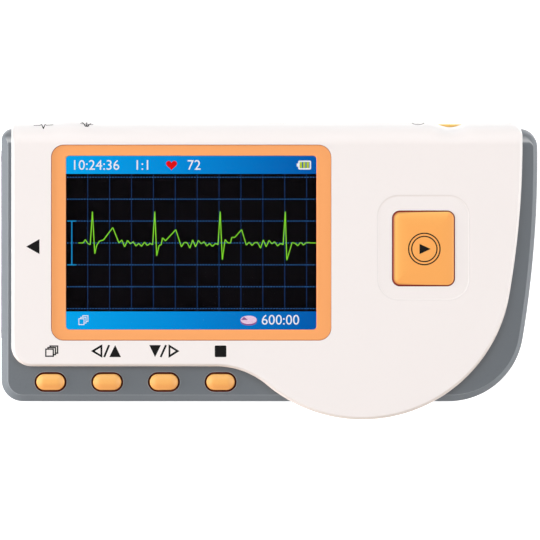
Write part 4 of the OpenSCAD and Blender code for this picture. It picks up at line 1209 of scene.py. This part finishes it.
screenFloor = borderCentre.y - window["height"] / 2


def litMaterial(name, colour, strength, ownTone=0.28):  # ownTone is the part that room light lends
    made, tree, shader = newMaterial(name)
    grain = addGrain(tree, 5000)
    light = tone(*colour)
    glowing = blendTones(tree, remap(tree, grain["Speckle"], 0, 1), light, dimmed(light, 0.9))
    rough = remap(tree, grain["Drift"], 0.5, 0.6)
    linkNodes(tree, (glowing, shader.inputs["Emission Color"]), (rough, shader.inputs["Roughness"]))
    setInputs(
        shader,
        {
            "Emission Strength": strength * (1 - ownTone), "Base Color": dimmed(light, ownTone),
            "Specular IOR Level": 0.05,
        },
    )
    return made


def barMaterial():
    made = litMaterial("pictureBars", barTones[1], 1.0, 0)
    tree, shader = made.node_tree, made.node_tree.nodes["Principled BSDF"]
    along = remap(tree, splitPlace(tree)["X"], 0, 1, screenLeft * mm, screenRight * mm)
    ramp = tree.nodes.new("ShaderNodeValToRGB")
    ramp.color_ramp.elements.new(0.5)
    for stop, colour in zip(ramp.color_ramp.elements, barTones):
        stop.color = tone(*colour)
    linkNodes(tree, (along, ramp.inputs["Fac"]), (ramp.outputs["Color"], shader.inputs["Emission Color"]))
    return made


lit = {name: litMaterial("picture" + name.capitalize(), *values) for name, values in glow.items()}
lit["bars"] = barMaterial()


def strokeShape(path, width):  # outline of a line drawn along a path
    left, right = [], []
    for i, point in enumerate(path):
        before, after = path[max(i - 1, 0)], path[min(i + 1, len(path) - 1)]
        ways = []
        for start, end in ((before, point), (point, after)):
            size = math.dist(start, end)
            if size > 1e-6:
                ways.append(((end[0] - start[0]) / size, (end[1] - start[1]) / size))
        x, y = sum(w[0] for w in ways), sum(w[1] for w in ways)
        size = math.hypot(x, y) or 1
        x, y = x / size, y / size
        reach = width / 2 / max(abs(x * ways[0][0] + y * ways[0][1]), 0.55)
        left.append((point[0] - y * reach, point[1] + x * reach))
        right.append((point[0] + y * reach, point[1] - x * reach))
    return left, right


def addBand(bm, left, right, low, high, closed=False):  # flat strip between two lines of points
    grid = [[bm.verts.new((*p, z)) for p in side] for side in (left, right) for z in (low, high)]
    leftLow, leftHigh, rightLow, rightHigh = grid
    count = len(left)
    for i in range(count if closed else count - 1):
        j = (i + 1) % count
        bm.faces.new((leftHigh[i], rightHigh[i], rightHigh[j], leftHigh[j]))
        bm.faces.new((leftLow[i], leftLow[j], rightLow[j], rightLow[i]))
        bm.faces.new((leftLow[i], leftHigh[i], leftHigh[j], leftLow[j]))
        bm.faces.new((rightLow[i], rightLow[j], rightHigh[j], rightHigh[i]))
    if not closed:
        bm.faces.new((leftLow[0], rightLow[0], rightHigh[0], leftHigh[0]))
        bm.faces.new((leftLow[-1], leftHigh[-1], rightHigh[-1], rightLow[-1]))


def addPlate(bm, points, low, high):
    below = [bm.verts.new((*p, low)) for p in points]
    above = [bm.verts.new((*p, high)) for p in points]
    bm.faces.new(above)
    bm.faces.new(below[::-1])
    for i in range(len(points)):
        j = (i + 1) % len(points)
        bm.faces.new((below[i], below[j], above[j], above[i]))


def flatPrint(name, low, thick, plates=(), strokes=(), rings=()):
    bm = bmesh.new()
    for points in plates:
        addPlate(bm, points, low, low + thick)
    for path, width in strokes:
        addBand(bm, *strokeShape(path, width), low, low + thick)
    for outer, inner in rings:
        addBand(bm, outer, inner, low, low + thick, True)
    mesh = bpy.data.meshes.new(name)
    bm.to_mesh(mesh)
    bm.free()
    return faceOut(addObject(name, mesh))


def box2(x0, y0, x1, y1):
    return [(x0, y0), (x1, y0), (x1, y1), (x0, y1)]


def boxAt(x, y, halfWidth, halfHeight):
    return box2(x - halfWidth, y - halfHeight, x + halfWidth, y + halfHeight)


def digits(name, words, size, x, y, low, thick):  # plain figures, made a mesh before they are placed
    text = bpy.data.curves.new(name, "FONT")
    text.body = words
    text.size = size
    text.extrude = thick / 2
    text.resolution_u = 3
    piece = bpy.data.objects.new(name, text)
    bpy.context.scene.collection.objects.link(piece)
    bpy.context.view_layer.update()
    mesh = bpy.data.meshes.new_from_object(piece.evaluated_get(bpy.context.evaluated_depsgraph_get()))
    bpy.data.objects.remove(piece)
    mesh.transform(Matrix.Translation((x, y, low + thick / 2)))
    return faceOut(addObject(name, mesh))


def pages(x, y, width, height, right, up):  # three overlapping pages; each one hides part of the next
    front = box2(x, y, x + width, y + height)
    paths = [front + front[:2]]
    for k in (1, 2):
        a, b = x + right * k, y + up * k
        top = b + height
        paths.append([(a, top - up), (a, top), (a + width, top), (a + width, b), (a + width - right, b)])
    return paths


def tracePath():  # beats with a slow wave after each, and a base line that trembles between them
    rise = [(-1.1, -0.1), (-0.5, -0.4)]
    waves = [
        [(0.55, -2.5), (1.0, -0.6), (1.6, 0.4), (2.6, 0.7), (4.75, 3.6), (6.2, 0)],
        [(0.45, -3.0), (1.0, -0.6), (1.5, -0.4), (1.8, 1.2), (2.5, 0.5), (4.9, 3.1), (6.2, -0.9)],
        [(0.5, -3.9), (1.15, 0.8), (1.8, 0), (2.4, 0), (2.7, 1.3), (3.4, 1.3), (5.0, 3.1), (6.1, -0.5)],
        [(0.35, -4.0), (1.6, 0.1)],
    ]
    tremble = (-0.1, -0.8, 0.2, -0.6, 0.1, 0.1, -1.2, 0.7, -0.9, 0.6, -0.2, 0.3, -0.7)
    base = screenTop - picture["gridDown"] - 3 * picture["gridStep"]
    path = [(screenLeft + u, base + v) for u, v in ((2.9, 0), (4.0, 0), (4.5, 0.8))]
    x, count = screenLeft + 5.0, 7

    def trembleTo(end, share=1.0):
        nonlocal x, count
        while x < end:
            path.append((x, base + share * tremble[count % len(tremble)]))
            x += picture["trembleStep"]
            count += 1

    for step, wave in zip(picture["beatSteps"], waves):
        peak = screenLeft + picture["beatFirst"] + step
        trembleTo(peak - 1.3)
        path += [(peak + u, base + v) for u, v in rise + [(0, 7.3)] + wave]
        x = path[-1][0] + picture["trembleStep"]
    trembleTo(screenRight - 1.5, 0.8)
    return path + [(screenRight - 1.4, base), (screenRight - 0.02, base)]


def makeBars():
    r, bar, left, right = window["radius"], picture["bar"], screenLeft, screenRight
    upper = arc((left + r, screenTop - r), r, 90, 180, 6)
    upper += [(left, screenTop - bar), (right, screenTop - bar)]
    upper += arc((right - r, screenTop - r), r, 0, 90, 6)
    lower = arc((left + r, screenFloor + r), r, 180, 270, 6)
    lower += arc((right - r, screenFloor + r), r, 270, 360, 6)
    lower += [(right, screenFloor + bar), (left, screenFloor + bar)]
    return flatPrint("bars", screenZ, picture["thick"], [upper, lower])


def makeGrid():  # level lines of dashes and upright lines of finer dots
    thick, step, rows = picture["thick"], picture["gridStep"], picture["rows"]
    width = screenRight - screenLeft
    dash = [half / 2 for half in picture["dot"]]
    across = int((width - 0.4) / picture["dotStep"])
    levelGrid = repeated(
        "levelDots", "grid", flatPrint("dot", screenZ, thick, [boxAt(0, 0, *dash)]), lit["grid"],
        {
            "Width": across * picture["dotStep"], "Height": step * (rows - 1),
            "Columns": across + 1, "Rows": rows,
        },
        centre=(
            (screenLeft + screenRight) / 2 + picture["dotShift"],
            screenTop - picture["gridDown"] - step * (rows - 1) / 2, 0,
        ),
    )
    columns = int((width - picture["gridFirst"]) // step) + 1
    top, floor = screenTop - picture["bar"], screenFloor + picture["bar"]
    fine, half = picture["fineStep"], picture["fineDot"] / 2
    down = int((top - floor - 0.2) / fine)
    uprightGrid = repeated(
        "uprightDots", "grid", flatPrint("dot", screenZ, thick, [boxAt(0, 0, half, half)]), lit["fine"],
        {"Width": step * (columns - 1), "Height": down * fine, "Columns": columns, "Rows": down + 1},
        centre=(screenLeft + picture["gridFirst"] + step * (columns - 1) / 2, (top + floor) / 2, 0),
    )
    return levelGrid, uprightGrid


def makeScale():
    fromLeft, half, upright, level = picture["scale"]
    x, step = screenLeft + fromLeft, picture["gridStep"]
    top = screenTop - picture["gridDown"] - 2 * step
    shapes = [box2(x - upright, top - 2 * step, x + upright, top)]
    shapes += [boxAt(x, y, half, level) for y in (top, top - 2 * step)]
    return flatPrint("mark", screenZ, 2 * picture["thick"], shapes)


def makeFigures(low, batteryX, batteryY):  # what stands on the bars in white
    thick, size = picture["thick"], picture["figure"]
    lineTop, lineFloor = screenTop - 3.25, screenFloor + 1.15
    figures = [
        digits(name, words, size, x, y, low, thick)
        for name, words, x, y in (
            ("clock", "10:24:36", screenLeft + 1.2, lineTop),
            ("gain", "1:1", screenLeft + 15.8, lineTop),
            ("rate", "72", screenLeft + 28.2, lineTop),
            ("store", "600:00", screenRight - 12.9, lineFloor),
        )
    ]
    case = [padAt((batteryX, batteryY), 3.0, 2.1, 0.3, inset, 3) for inset in (0, 0.34)]
    pole = box2(batteryX - 1.85, batteryY - 0.4, batteryX - 1.5, batteryY + 0.4)
    figures.append(flatPrint("battery", low, thick, [pole], (), [case]))
    fromLeft, up = picture["sheets"]
    sheets = pages(screenLeft + fromLeft, screenFloor + up, 1.2, 1.35, 0.46, 0.36)
    figures.append(flatPrint("sheets", low, thick, (), [(path, 0.18) for path in sheets]))
    return figures


def heartShape():
    x0, y0 = screenLeft + picture["heart"][0], screenTop - picture["heart"][1]
    wide, high = picture["heartScale"]
    points = []
    for i in range(40):
        t = 2 * math.pi * i / 40
        y = 13 * math.cos(t) - 5 * math.cos(2 * t) - 2 * math.cos(3 * t) - math.cos(4 * t)
        points.append((x0 + 16 * math.sin(t) ** 3 * wide, y0 + y * high))
    return points[::-1]


def oval(x, y, halfWidth, halfHeight, count=36):
    turns = [2 * math.pi * i / count for i in range(count)]
    return [(x + halfWidth * math.cos(t), y + halfHeight * math.sin(t)) for t in turns]


def makePicture():
    z, thick = screenZ, picture["thick"]
    upper = z + thick
    levelGrid, uprightGrid = makeGrid()
    path = tracePath()
    lines = [([start, end], picture["traceLine"]) for start, end in zip(path, path[1:])]
    batteryX, batteryY = screenRight - picture["battery"][0], screenTop - picture["battery"][1]
    cells = [boxAt(batteryX + u, batteryY, 0.265, 0.72) for u in (-0.885, -0.085, 0.715)]
    pieX, pieY = screenRight - picture["pie"][0], screenFloor + picture["pie"][1]
    side = oval(pieX, pieY - 0.22, picture["pieHalf"], 1.02)
    disc = oval(pieX, pieY + 0.1, picture["pieHalf"], 0.98)
    wedge = [(pieX - 0.2, pieY + 0.1), (pieX - 1.1, pieY + 0.8), (pieX - 1.8, pieY + 0.1)]
    layers = {
        "bars": [makeBars()],
        "grid": [levelGrid],
        "fine": [uprightGrid],
        "trace": [flatPrint("trace", z, 2 * thick, (), lines)],
        "mark": [makeScale()],
        "white": makeFigures(upper, batteryX, batteryY),
        "heart": [flatPrint("heart", upper, thick, [heartShape()])],
        "green": [flatPrint("cells", upper, thick, cells)],
        "plum": [
            flatPrint("pieSide", upper, thick, [side]),
            flatPrint("pieSlice", upper + 2 * thick, thick, [wedge]),
        ],
        "pink": [flatPrint("pieTop", upper + thick, thick, [disc])],
    }
    for name, parts in layers.items():
        settle(joined("picture_" + name, parts), "housing", lit[name], "display_glass")


makePicture()
print("picture made")

# ---- printed marks, which also set how thick a print is

marks = {
    "thick": 0.012,
    "row": -18.9,  # level of the marks above the keys
    "half": 1.4,
    "slash": 0.46,
    "outline": 0.48,
    "shoulderLine": 0.24,
    "shoulderTurn": 29.5,  # where on the rolled shoulder its marks stand, in degrees from the wall
    "ringOuter": 3.66,
    "ringInner": 2.95,
    "ringLine": 0.28,
    "shift": (0.2, -0.12),  # of the print from the button's middle
    "sideTip": (-56.6, 5.46),  # the arrow at the left of the display
    "sideBase": (-53.5, 1.74),
    "square": 2.7,
    "pulseX": -52.6,  # the marks on the shoulder
    "leadX": -42.5,
    "powerX": 34.8,
    "powerLevel": 1.7,
    "powerRadius": 1.35,
}

# ---- keys and buttons

# painted shade: the keys' sides below the face turn dark red where they sit down in their slots
twoToneAndShadeBelow(keyPlastic, faceZ + 0.08, 0.1, (172, 58, 30))
# painted shade: the measure button's side turns dark red where it sits in its gap, reaching higher at the
# left
lean = measure["lean"]
twoToneAndShadeBelow(measurePlastic, measureHigh.z - 0.25 + lean * measureCentre.x, 0.05, (142, 26, 4), lean)
keyPieces = {
    "menu_key": "menuKeyCap", "left_up_key": "leftUpKeyCap",
    "right_down_key": "rightDownKeyCap", "stop_key": "stopKeyCap",
}


def makeKey(node, name):
    low, high = nodeBox(node)
    centre, size = (low + high) / 2, high - low
    edge = key["gap"] + key["rim"]
    width, height = size.x - 2 * edge, size.y - 2 * edge
    r, top, flange = key["round"], high.z - key["dome"], low.z + key["flange"]
    insets = [0.06 - edge, -edge, -edge, 0.06 - edge, -0.12, 0]
    levels = [low.z, low.z + 0.06, flange - 0.06, flange, flange, flange + 0.12]
    roundInsets, roundLevels = roundOver(r, top)
    insets, levels = insets + roundInsets, levels + roundLevels
    for share in (0.2, 0.4, 0.6, 0.8, 1.0):  # the cap is slightly domed
        insets.append(r + share * (height / 2 - r) * 0.9)
        levels.append(high.z - key["dome"] * (1 - share) ** 2)
    rings = [moved(slotShape(width, height, i), centre.x, centre.y) for i in insets]
    piece = smoothShell(loft(name, rings, levels), 40)
    return settle(piece, node + "_body", keyPlastic, "orange_key", node)


for node, name in keyPieces.items():
    makeKey(node, name)


def makeMeasureButton():
    top, rim, crown = measureHigh.z - 2 * marks["thick"], measure["flangeRim"], measure["crown"]
    foot, flangeTop = measureLow.z, faceZ - 0.2
    stemTop = flangeTop - 0.8
    stem = [padAt(measureCentre, 4, 4, 2, i, 12) for i in (0.1, 0, 0)]
    insets = [0.06 - rim, -rim, -rim, 0.06 - rim, 0]
    levels = [foot, foot + 0.1, stemTop, stemTop, stemTop + 0.06, flangeTop - 0.06, flangeTop, flangeTop]
    roundInsets, roundLevels = roundOver(measure["round"], top - crown)
    insets, levels = insets + roundInsets, levels + roundLevels
    for share in (0.02, 0.05, 0.09, 0.14, 0.2, 0.3, 0.5, 1.0):
        insets.append(measure["round"] + share * 6.2)
        levels.append(top - crown * (1 - share) ** 6)
    rings = stem + [
        padAt(measureCentre, measureSize.x, measureSize.y, measure["radius"], i, 12) for i in insets
    ]
    piece = smoothShell(loft("measureButtonCap", rings, levels), 40)
    return settle(piece, "measure_button_body", measurePlastic, "orange_key", "measure_button")


measureCap = makeMeasureButton()


def makePowerButton():
    rim, low, top = power["rim"], powerLow.y, powerHigh.y
    width, height = powerHigh.x - powerLow.x - 2 * rim, powerHigh.z - powerLow.z - 2 * rim
    flange = low + power["flange"]
    insets = [0.05 - rim, -rim, -rim, 0.05 - rim, 0]
    levels = [low, low + 0.05, flange - 0.05, flange, flange]
    roundInsets, roundLevels = roundOver(power["round"], top - power["fall"])
    insets, levels = insets + roundInsets + [power["flat"]], levels + roundLevels + [top]
    piece = loft("powerButtonCap", [slotShape(width, height, i) for i in insets], levels)
    piece = smoothShell(faceOut(turnInto(piece, towardTop, (powerX, 0, powerZ))), 40)
    settle(piece, "power_button_body", powerPlastic, "orange_key", "power_button")


makePowerButton()
print("keys and buttons made")

# ---- electrodes


def makePlate(name, size, radius, thick):  # pressed steel plate with rolled edges, from z 0 up
    r = 0.3
    insets = [r * (1 - math.sin(math.radians(a))) for a in range(0, 91, 15)]
    levels = [r * (1 - math.cos(math.radians(a))) for a in range(0, 91, 15)]
    insets, levels = insets + [0, 0.1], levels + [thick - 0.1, thick]
    return loft(name, [padShape(size[0], size[1], radius, i, 12) for i in insets], levels)


for node, low, high in (("finger_electrode", fingerLow, fingerHigh), ("palm_electrode", palmLow, palmHigh)):
    plate = makePlate(node + "_plate", (high.x - low.x, high.y - low.y), 5.0, high.z - low.z)
    plate.data.transform(Matrix.Translation(((low.x + high.x) / 2, (low.y + high.y) / 2, low.z)))
    settle(smoothShell(plate), "housing", electrodeSteel, "electrode_steel", node)

plateSize, plateCentre = plateHigh - plateLow, (plateLow + plateHigh) / 2
endPlate = makePlate("left_electrode_plate", (plateSize.y, plateSize.z), 3.0, plateSize.x)
turnInto(endPlate, towardEnd, (plateLow.x, plateCentre.y, plateCentre.z))
settle(smoothShell(faceOut(endPlate)), "housing", endSteel, "electrode_steel", "left_electrode")

# ---- screws in the back

screw = {"head": 3.8, "headHeight": 1.5, "shaft": 2.0, "dome": 0.35, "slot": 0.55, "slotLength": 2.4}


def makeScrewShape():  # pan head downwards at z 0, its seat at the head's height, point up
    turns = [math.radians(a) for a in range(0, 91, 15)]
    rings, levels = [], []
    for t in turns:
        rings.append(circle((0, 0), screw["head"] / 2 - 0.5 * (1 - math.sin(t)), 48))
        levels.append(screw["dome"] * (1 - math.cos(t)) * 1.4)
    height, length = screw["headHeight"], screwHigh.z - screwLow.z
    head, shaft = screw["head"] / 2, screw["shaft"] / 2
    for radius, z in ((head, height), (shaft, height), (shaft, length - 1), (0.3, length)):
        rings.append(circle((0, 0), radius, 48))
        levels.append(z)
    piece = loft("screwShape", rings, levels)
    half, reach = screw["slot"] / 2, screw["slotLength"] / 2
    cross = []
    for a, b in ((reach, half), (half, reach)):
        shape = [box2(-a * s, -b * s, a * s, b * s) for s in (1.1, 1, 0.55)]
        cross.append(loft("cross", shape, [-0.5, 0.0, 1.1]))
    combine(piece, cross, "DIFFERENCE")
    return smoothShell(piece, 35)


screwPiece = repeated(
    "case_screw_heads", "places", makeScrewShape(), screwSteel,
    places=[(x, y, screwLow.z) for x, y in screwPlaces],
)
settle(screwPiece, "housing", screwSteel, "screw_steel", "case_screws")
print("plates and screws made")

# ---- lead socket in the top edge

socket = {"radius": 0.8, "shell": 0.3, "back": 1.6, "tongue": 1.0, "tongueIn": 1.2, "contacts": 5}


def makeSocket():
    width, depth, height = socketHigh - socketLow
    wall, edge = socket["shell"], 0.12
    rings = [padShape(width, height, socket["radius"], i, 8) for i in (0, 0, edge)]
    shell = loft("lead_socket_shell", rings, [0, depth - edge, depth])
    inner = openingCutter(
        "inner",
        lambda inset: padShape(width - 2 * wall, height - 2 * wall, socket["radius"] - wall, inset, 8),
        socket["back"], depth, 0.1, 3,
    )
    combine(shell, [inner], "DIFFERENCE")
    tongue = loft(
        "lead_socket_tongue",
        [padShape(width - 2 * socket["back"], socket["tongue"], 0.25, i, 5) for i in (0, 0, 0.12)],
        [socket["back"] - 0.1, depth - socket["tongueIn"] - 0.12, depth - socket["tongueIn"]],
    )
    contact = block(
        "contact", (-0.18, 0.42, socket["back"]), (0.18, 0.58, depth - socket["tongueIn"] - 0.4)
    )
    gaps = socket["contacts"] - 1
    step = (width - 2 * socket["back"] - 0.9) / gaps
    contacts = repeated(
        "lead_socket_contacts", "row", contact, goldContact,
        {"Count": gaps + 1, "Start": (-step * gaps / 2, 0, 0), "Step": (step, 0, 0)},
    )
    for piece, *looks in (
        (shell, tinnedSteel, "tinned_steel", "lead_socket"),
        (tongue, darkPlastic, "black_plastic"),
        (contacts, goldContact, "gold_contact"),
    ):
        turnInto(piece, towardTop, (portX, socketLow.y, portZ))
        settle(smoothShell(faceOut(piece), 35), "housing", *looks)


makeSocket()
print("socket made")

# ---- laying the marks


def wrapped(piece, target, place, thick):  # lays a flat print on a finished piece
    bm = bmesh.new()
    bm.from_mesh(target.data)
    surface = BVHTree.FromBMesh(bm)
    for vertex in piece.data.vertices:
        x, y, height = vertex.co
        spot, normal = surface.find_nearest(Vector(place(x, y)) * mm)[:2]
        vertex.co = spot / mm + normal * (thick if height > thick / 2 else -thick)
    bm.free()
    return piece


def onShoulder(x, y):  # a flat drawing's point on the rolled top edge of the cover
    turn = math.radians(marks["shoulderTurn"]) - y / 5.4
    swell = cover["swellHeight"] * hump(x - portX, cover["swellWidth"])
    draw = math.cos(turn)
    return (
        x,
        coverTop - cover["rollWidth"] * (1 - draw) + swell * draw,
        coverHigh.z - cover["rollHeight"] * (1 - math.sin(turn)),
    )


def fineLine(points, step=0.15):
    path = []
    for start, end in zip(points, points[1:]):
        count = max(1, round(math.dist(start, end) / step))
        path += [tuple(a + (b - a) * i / count for a, b in zip(start, end)) for i in range(count)]
    return path + [points[-1]]


def makeMarks():
    row, half, thick = marks["row"], marks["half"], marks["thick"]
    keyX = [sum(nodeBox(name)[i].x for i in (0, 1)) / 2 for name in keyNames]
    low, high = row - half, row + half
    tip, (baseX, reach) = marks["sideTip"], marks["sideBase"]
    plates = [[tip, (baseX, tip[1] - reach), (baseX, tip[1] + reach)]]
    strokes = []
    for x, full, slash, tip, base, side in (  # a full arrow, a slash and an arrow in outline
        (keyX[1], [(0.5, low), (3.2, low), (1.85, high)], (-0.7, 0.45), -3.35, -1.35, 1.2),
        (keyX[2], [(-3.4, high), (-2.05, low), (-0.7, high)], (-0.75, 0.5), 3.2, 1.3, -1.2),
    ):
        plates.append(moved(full, x, 0))
        strokes.append(([(x + slash[0], low), (x + slash[1], high)], marks["slash"]))
        outline = [(x + tip, row), (x + base, row + side), (x + base, row - side)]
        strokes.append((outline + outline[:2], marks["outline"]))
    plates.append(padAt((keyX[3], row - 0.05), marks["square"], marks["square"], 0.25, 0, 4))
    strokes += [(path, 0.3) for path in pages(keyX[0] - 1.1, row - 1.2, 1.75, 1.65, 0.5, 0.36)]
    level = coverHigh.z - thick / 2
    settle(flatPrint("key_marks", level, thick, plates, strokes), "housing", inkPrint, "black_plastic")

    wave = [(-2.3, 0), (-0.8, 0), (-0.45, 0.5), (0, -1.3), (0.4, 0.4), (0.7, 0), (2.3, 0)]
    plug = [
        [(-1.2, 1.3), (-0.4, -0.4)], [(1.0, 0.8), (0.3, -0.4)], [(-1.5, 0.2), (1.5, 0.2)],
        [(-0.6, -0.5), (0.6, -0.5)], [(-0.4, -0.8), (0.4, -0.8)], [(0, 1.2), (0, -0.4)],
    ]
    turns = [0.6 + i * 0.17 for i in range(30)]
    r, level = marks["powerRadius"], marks["powerLevel"]
    onSign = [(r * math.sin(a), level + r * math.cos(a)) for a in turns]
    drawn = [moved(wave, marks["pulseX"], 0)]
    drawn += [moved(line, marks["leadX"], 0) for line in plug]
    drawn += [moved(line, marks["powerX"], 0) for line in (onSign, [(0, level + 0.4), (0, level + 1.9)])]
    lines = [(fineLine(line), marks["shoulderLine"]) for line in drawn]
    shoulder = flatPrint("shoulder_marks", 0, 2 * thick, (), lines)
    settle(wrapped(shoulder, coverShell, onShoulder, thick), "housing", inkPrint, "black_plastic")

    x, y = measureCentre.x + marks["shift"][0], measureCentre.y + marks["shift"][1]
    half = marks["ringLine"] / 2
    rings = [
        (circle((x, y), marks[name] + half), circle((x, y), marks[name] - half))
        for name in ("ringOuter", "ringInner")
    ]
    arrow = moved([(-1.12, -1.2), (1.46, 0), (-1.12, 1.2)], x, y)
    badge = flatPrint("button_mark", 0, 2 * thick, [arrow], (), rings)
    wrapped(badge, measureCap, lambda x, y: (x, y, measureHigh.z), thick)
    settle(badge, "measure_button_body", inkPrint, "black_plastic")


makeMarks()
print("marks printed")

# ---- finishes of the pieces inside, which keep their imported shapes


def boardMaterial():
    made, tree, shader = newMaterial("greenBoard")
    place = tree.nodes.new("ShaderNodeTexCoord").outputs["Object"]
    tracks = addNode(
        tree, "ShaderNodeTexBrick",
        {
            "Scale": 260, "Mortar Size": 0.05,
            "Color1": tone(22, 92, 50), "Color2": tone(26, 104, 58), "Mortar": tone(52, 138, 84),
        },
    )
    rough = remap(tree, addGrain(tree)["Drift"], 0.28, 0.4)
    linkNodes(
        tree,
        (place, tracks.inputs["Vector"]),
        (tracks.outputs["Color"], shader.inputs["Base Color"]),
        (rough, shader.inputs["Roughness"]),
    )
    addBump(tree, shader, tracks.outputs["Fac"], 1e-5)
    return made


amberFilm = plastic("amberFilm", (196, 118, 40), 0.35, drift=0.12)
lightFilm = plastic("lightFilm", (236, 238, 242), 0.3, drift=0.03)
cellWrap = plastic("cellWrap", (196, 92, 34), 0.32, drift=0.08, coat=0.4)
switchPlastic = plastic("switchPlastic", (206, 196, 170), 0.45, drift=0.05)
twoToneAndShadeBelow(switchPlastic, nodeBox("key_switches")[1].z - 0.32, 0.02, (40, 40, 44))
insideFinishes = {
    "lcd_backlight": lightFilm, "lcd_tray": palePlastic, "lcd_ribbon": amberFilm,
    "main_board": boardMaterial(),
    "key_switches": switchPlastic, "measure_switch": darkPlastic, "power_switch": darkPlastic,
    "lcd_connector": palePlastic, "processor_chip": darkPlastic, "board_chips": darkPlastic,
    "amplifier_shield": tinnedSteel, "clock_crystal": tinnedSteel, "buzzer": darkPlastic,
    "electrode_springs": goldContact, "side_contact": goldContact, "battery_cells": cellWrap,
    "battery_springs": tinnedSteel, "battery_plates": tinnedSteel, "board_screws": screwSteel,
}
for node, finish in insideFinishes.items():
    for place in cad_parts[node].material_slots:
        place.material = finish
print("inside finished")

# ---- camera, light and floor

shot = {"distance": 6.0, "width": 0.12593, "sensor": 36.0, "aimX": 0.000245, "aimY": 0.0}
cameraData = bpy.data.cameras.new("camera")
cameraData.sensor_width = shot["sensor"]
cameraData.lens = shot["sensor"] * shot["distance"] / shot["width"]
cameraData.clip_start, cameraData.clip_end = 0.1, 60
camera = bpy.data.objects.new("camera", cameraData)
camera.location = (shot["aimX"], shot["aimY"], faceZ * mm + shot["distance"])
bpy.context.scene.collection.objects.link(camera)
bpy.context.scene.camera = camera

softboxes = {  # place, width, height, brightness and tint; the strips only fill, and no gloss mirrors them
    "leftBox": ((-0.56, 0.0, 0.6), 0.7, 0.6, 1.92, (1, 1, 1)),
    "rightBox": ((0.56, 0.0, 0.6), 0.7, 0.6, 2.06, (1, 1, 1)),
    "backBox": ((0.0, 0.56, 0.68), 0.9, 0.5, 1.2, (0.97, 1, 1.04)),
    "frontBox": ((0.0, -0.55, 0.62), 0.9, 0.4, 0.74, (1, 0.96, 0.93)),
    "leftStrip": ((-0.8, 0.0, 0.1), 0.9, 0.22, 15.0, (1, 1, 1)),
    "rightStrip": ((0.8, 0.32, 0.1), 0.9, 0.22, 6.0, (1, 0.97, 0.95)),
}


def addSoftbox(name, place, width, height, brightness, tint):
    data = bpy.data.lights.new(name, "AREA")
    data.color = tint
    data.shape = "RECTANGLE"
    data.size, data.size_y = width, height
    data.energy = brightness * math.pi * width * height
    lamp = bpy.data.objects.new(name, data)
    lamp.location = place
    toward = Vector((0, 0, 0.015)) - Vector(place)
    lamp.rotation_euler = toward.to_track_quat("-Z", "Y").to_euler()
    lamp.visible_camera = False
    lamp.visible_glossy = "Strip" not in name
    bpy.context.scene.collection.objects.link(lamp)


for name, values in softboxes.items():
    addSoftbox(name, *values)


def makeSky():  # a pale surround, darker overhead so that the display stays dark
    world = bpy.data.worlds.new("studio")
    world.use_nodes = True
    bpy.context.scene.world = world
    tree = world.node_tree
    background = tree.nodes["Background"]
    ramp = tree.nodes.new("ShaderNodeValToRGB")
    for stop, (level, grey) in zip(ramp.color_ramp.elements, ((0.0, 0.5), (0.9, 0.06))):
        stop.position, stop.color = level, (grey, grey, grey, 1)
    seen = addNode(tree, "ShaderNodeBackground", {"Color": (0.94, 0.94, 0.94, 1)})
    mix = tree.nodes.new("ShaderNodeMixShader")
    path = tree.nodes.new("ShaderNodeLightPath")
    linkNodes(
        tree,
        (splitPlace(tree, "Generated")["Z"], ramp.inputs["Fac"]),
        (ramp.outputs["Color"], background.inputs["Color"]),
        (path.outputs["Is Camera Ray"], mix.inputs[0]),
        (background.outputs[0], mix.inputs[1]),
        (seen.outputs[0], mix.inputs[2]),
        (mix.outputs[0], tree.nodes["World Output"].inputs["Surface"]),
    )


makeSky()
ground = {"half": 15.0, "level": -0.0002, "greys": (0.9, 0.94), "glow": 0.6}  # in metres
corners = [(x, y, ground["level"]) for x, y in boxAt(0, 0, ground["half"], ground["half"])]
floorPiece = meshFrom("floor", corners, [(0, 1, 2, 3)])
floorPaper, tree, shader = newMaterial("floorPaper")
paper = addGrain(tree, 900)
whites = blendTones(tree, paper["Drift"], *((grey, grey, grey, 1) for grey in ground["greys"]))
tree.links.new(whites, shader.inputs["Base Color"])
setInputs(
    shader,
    {
        "Roughness": 0.9, "Specular IOR Level": 0.1,
        "Emission Color": (1, 1, 1, 1), "Emission Strength": ground["glow"],
    },
)
floorPiece.data.materials.append(floorPaper)
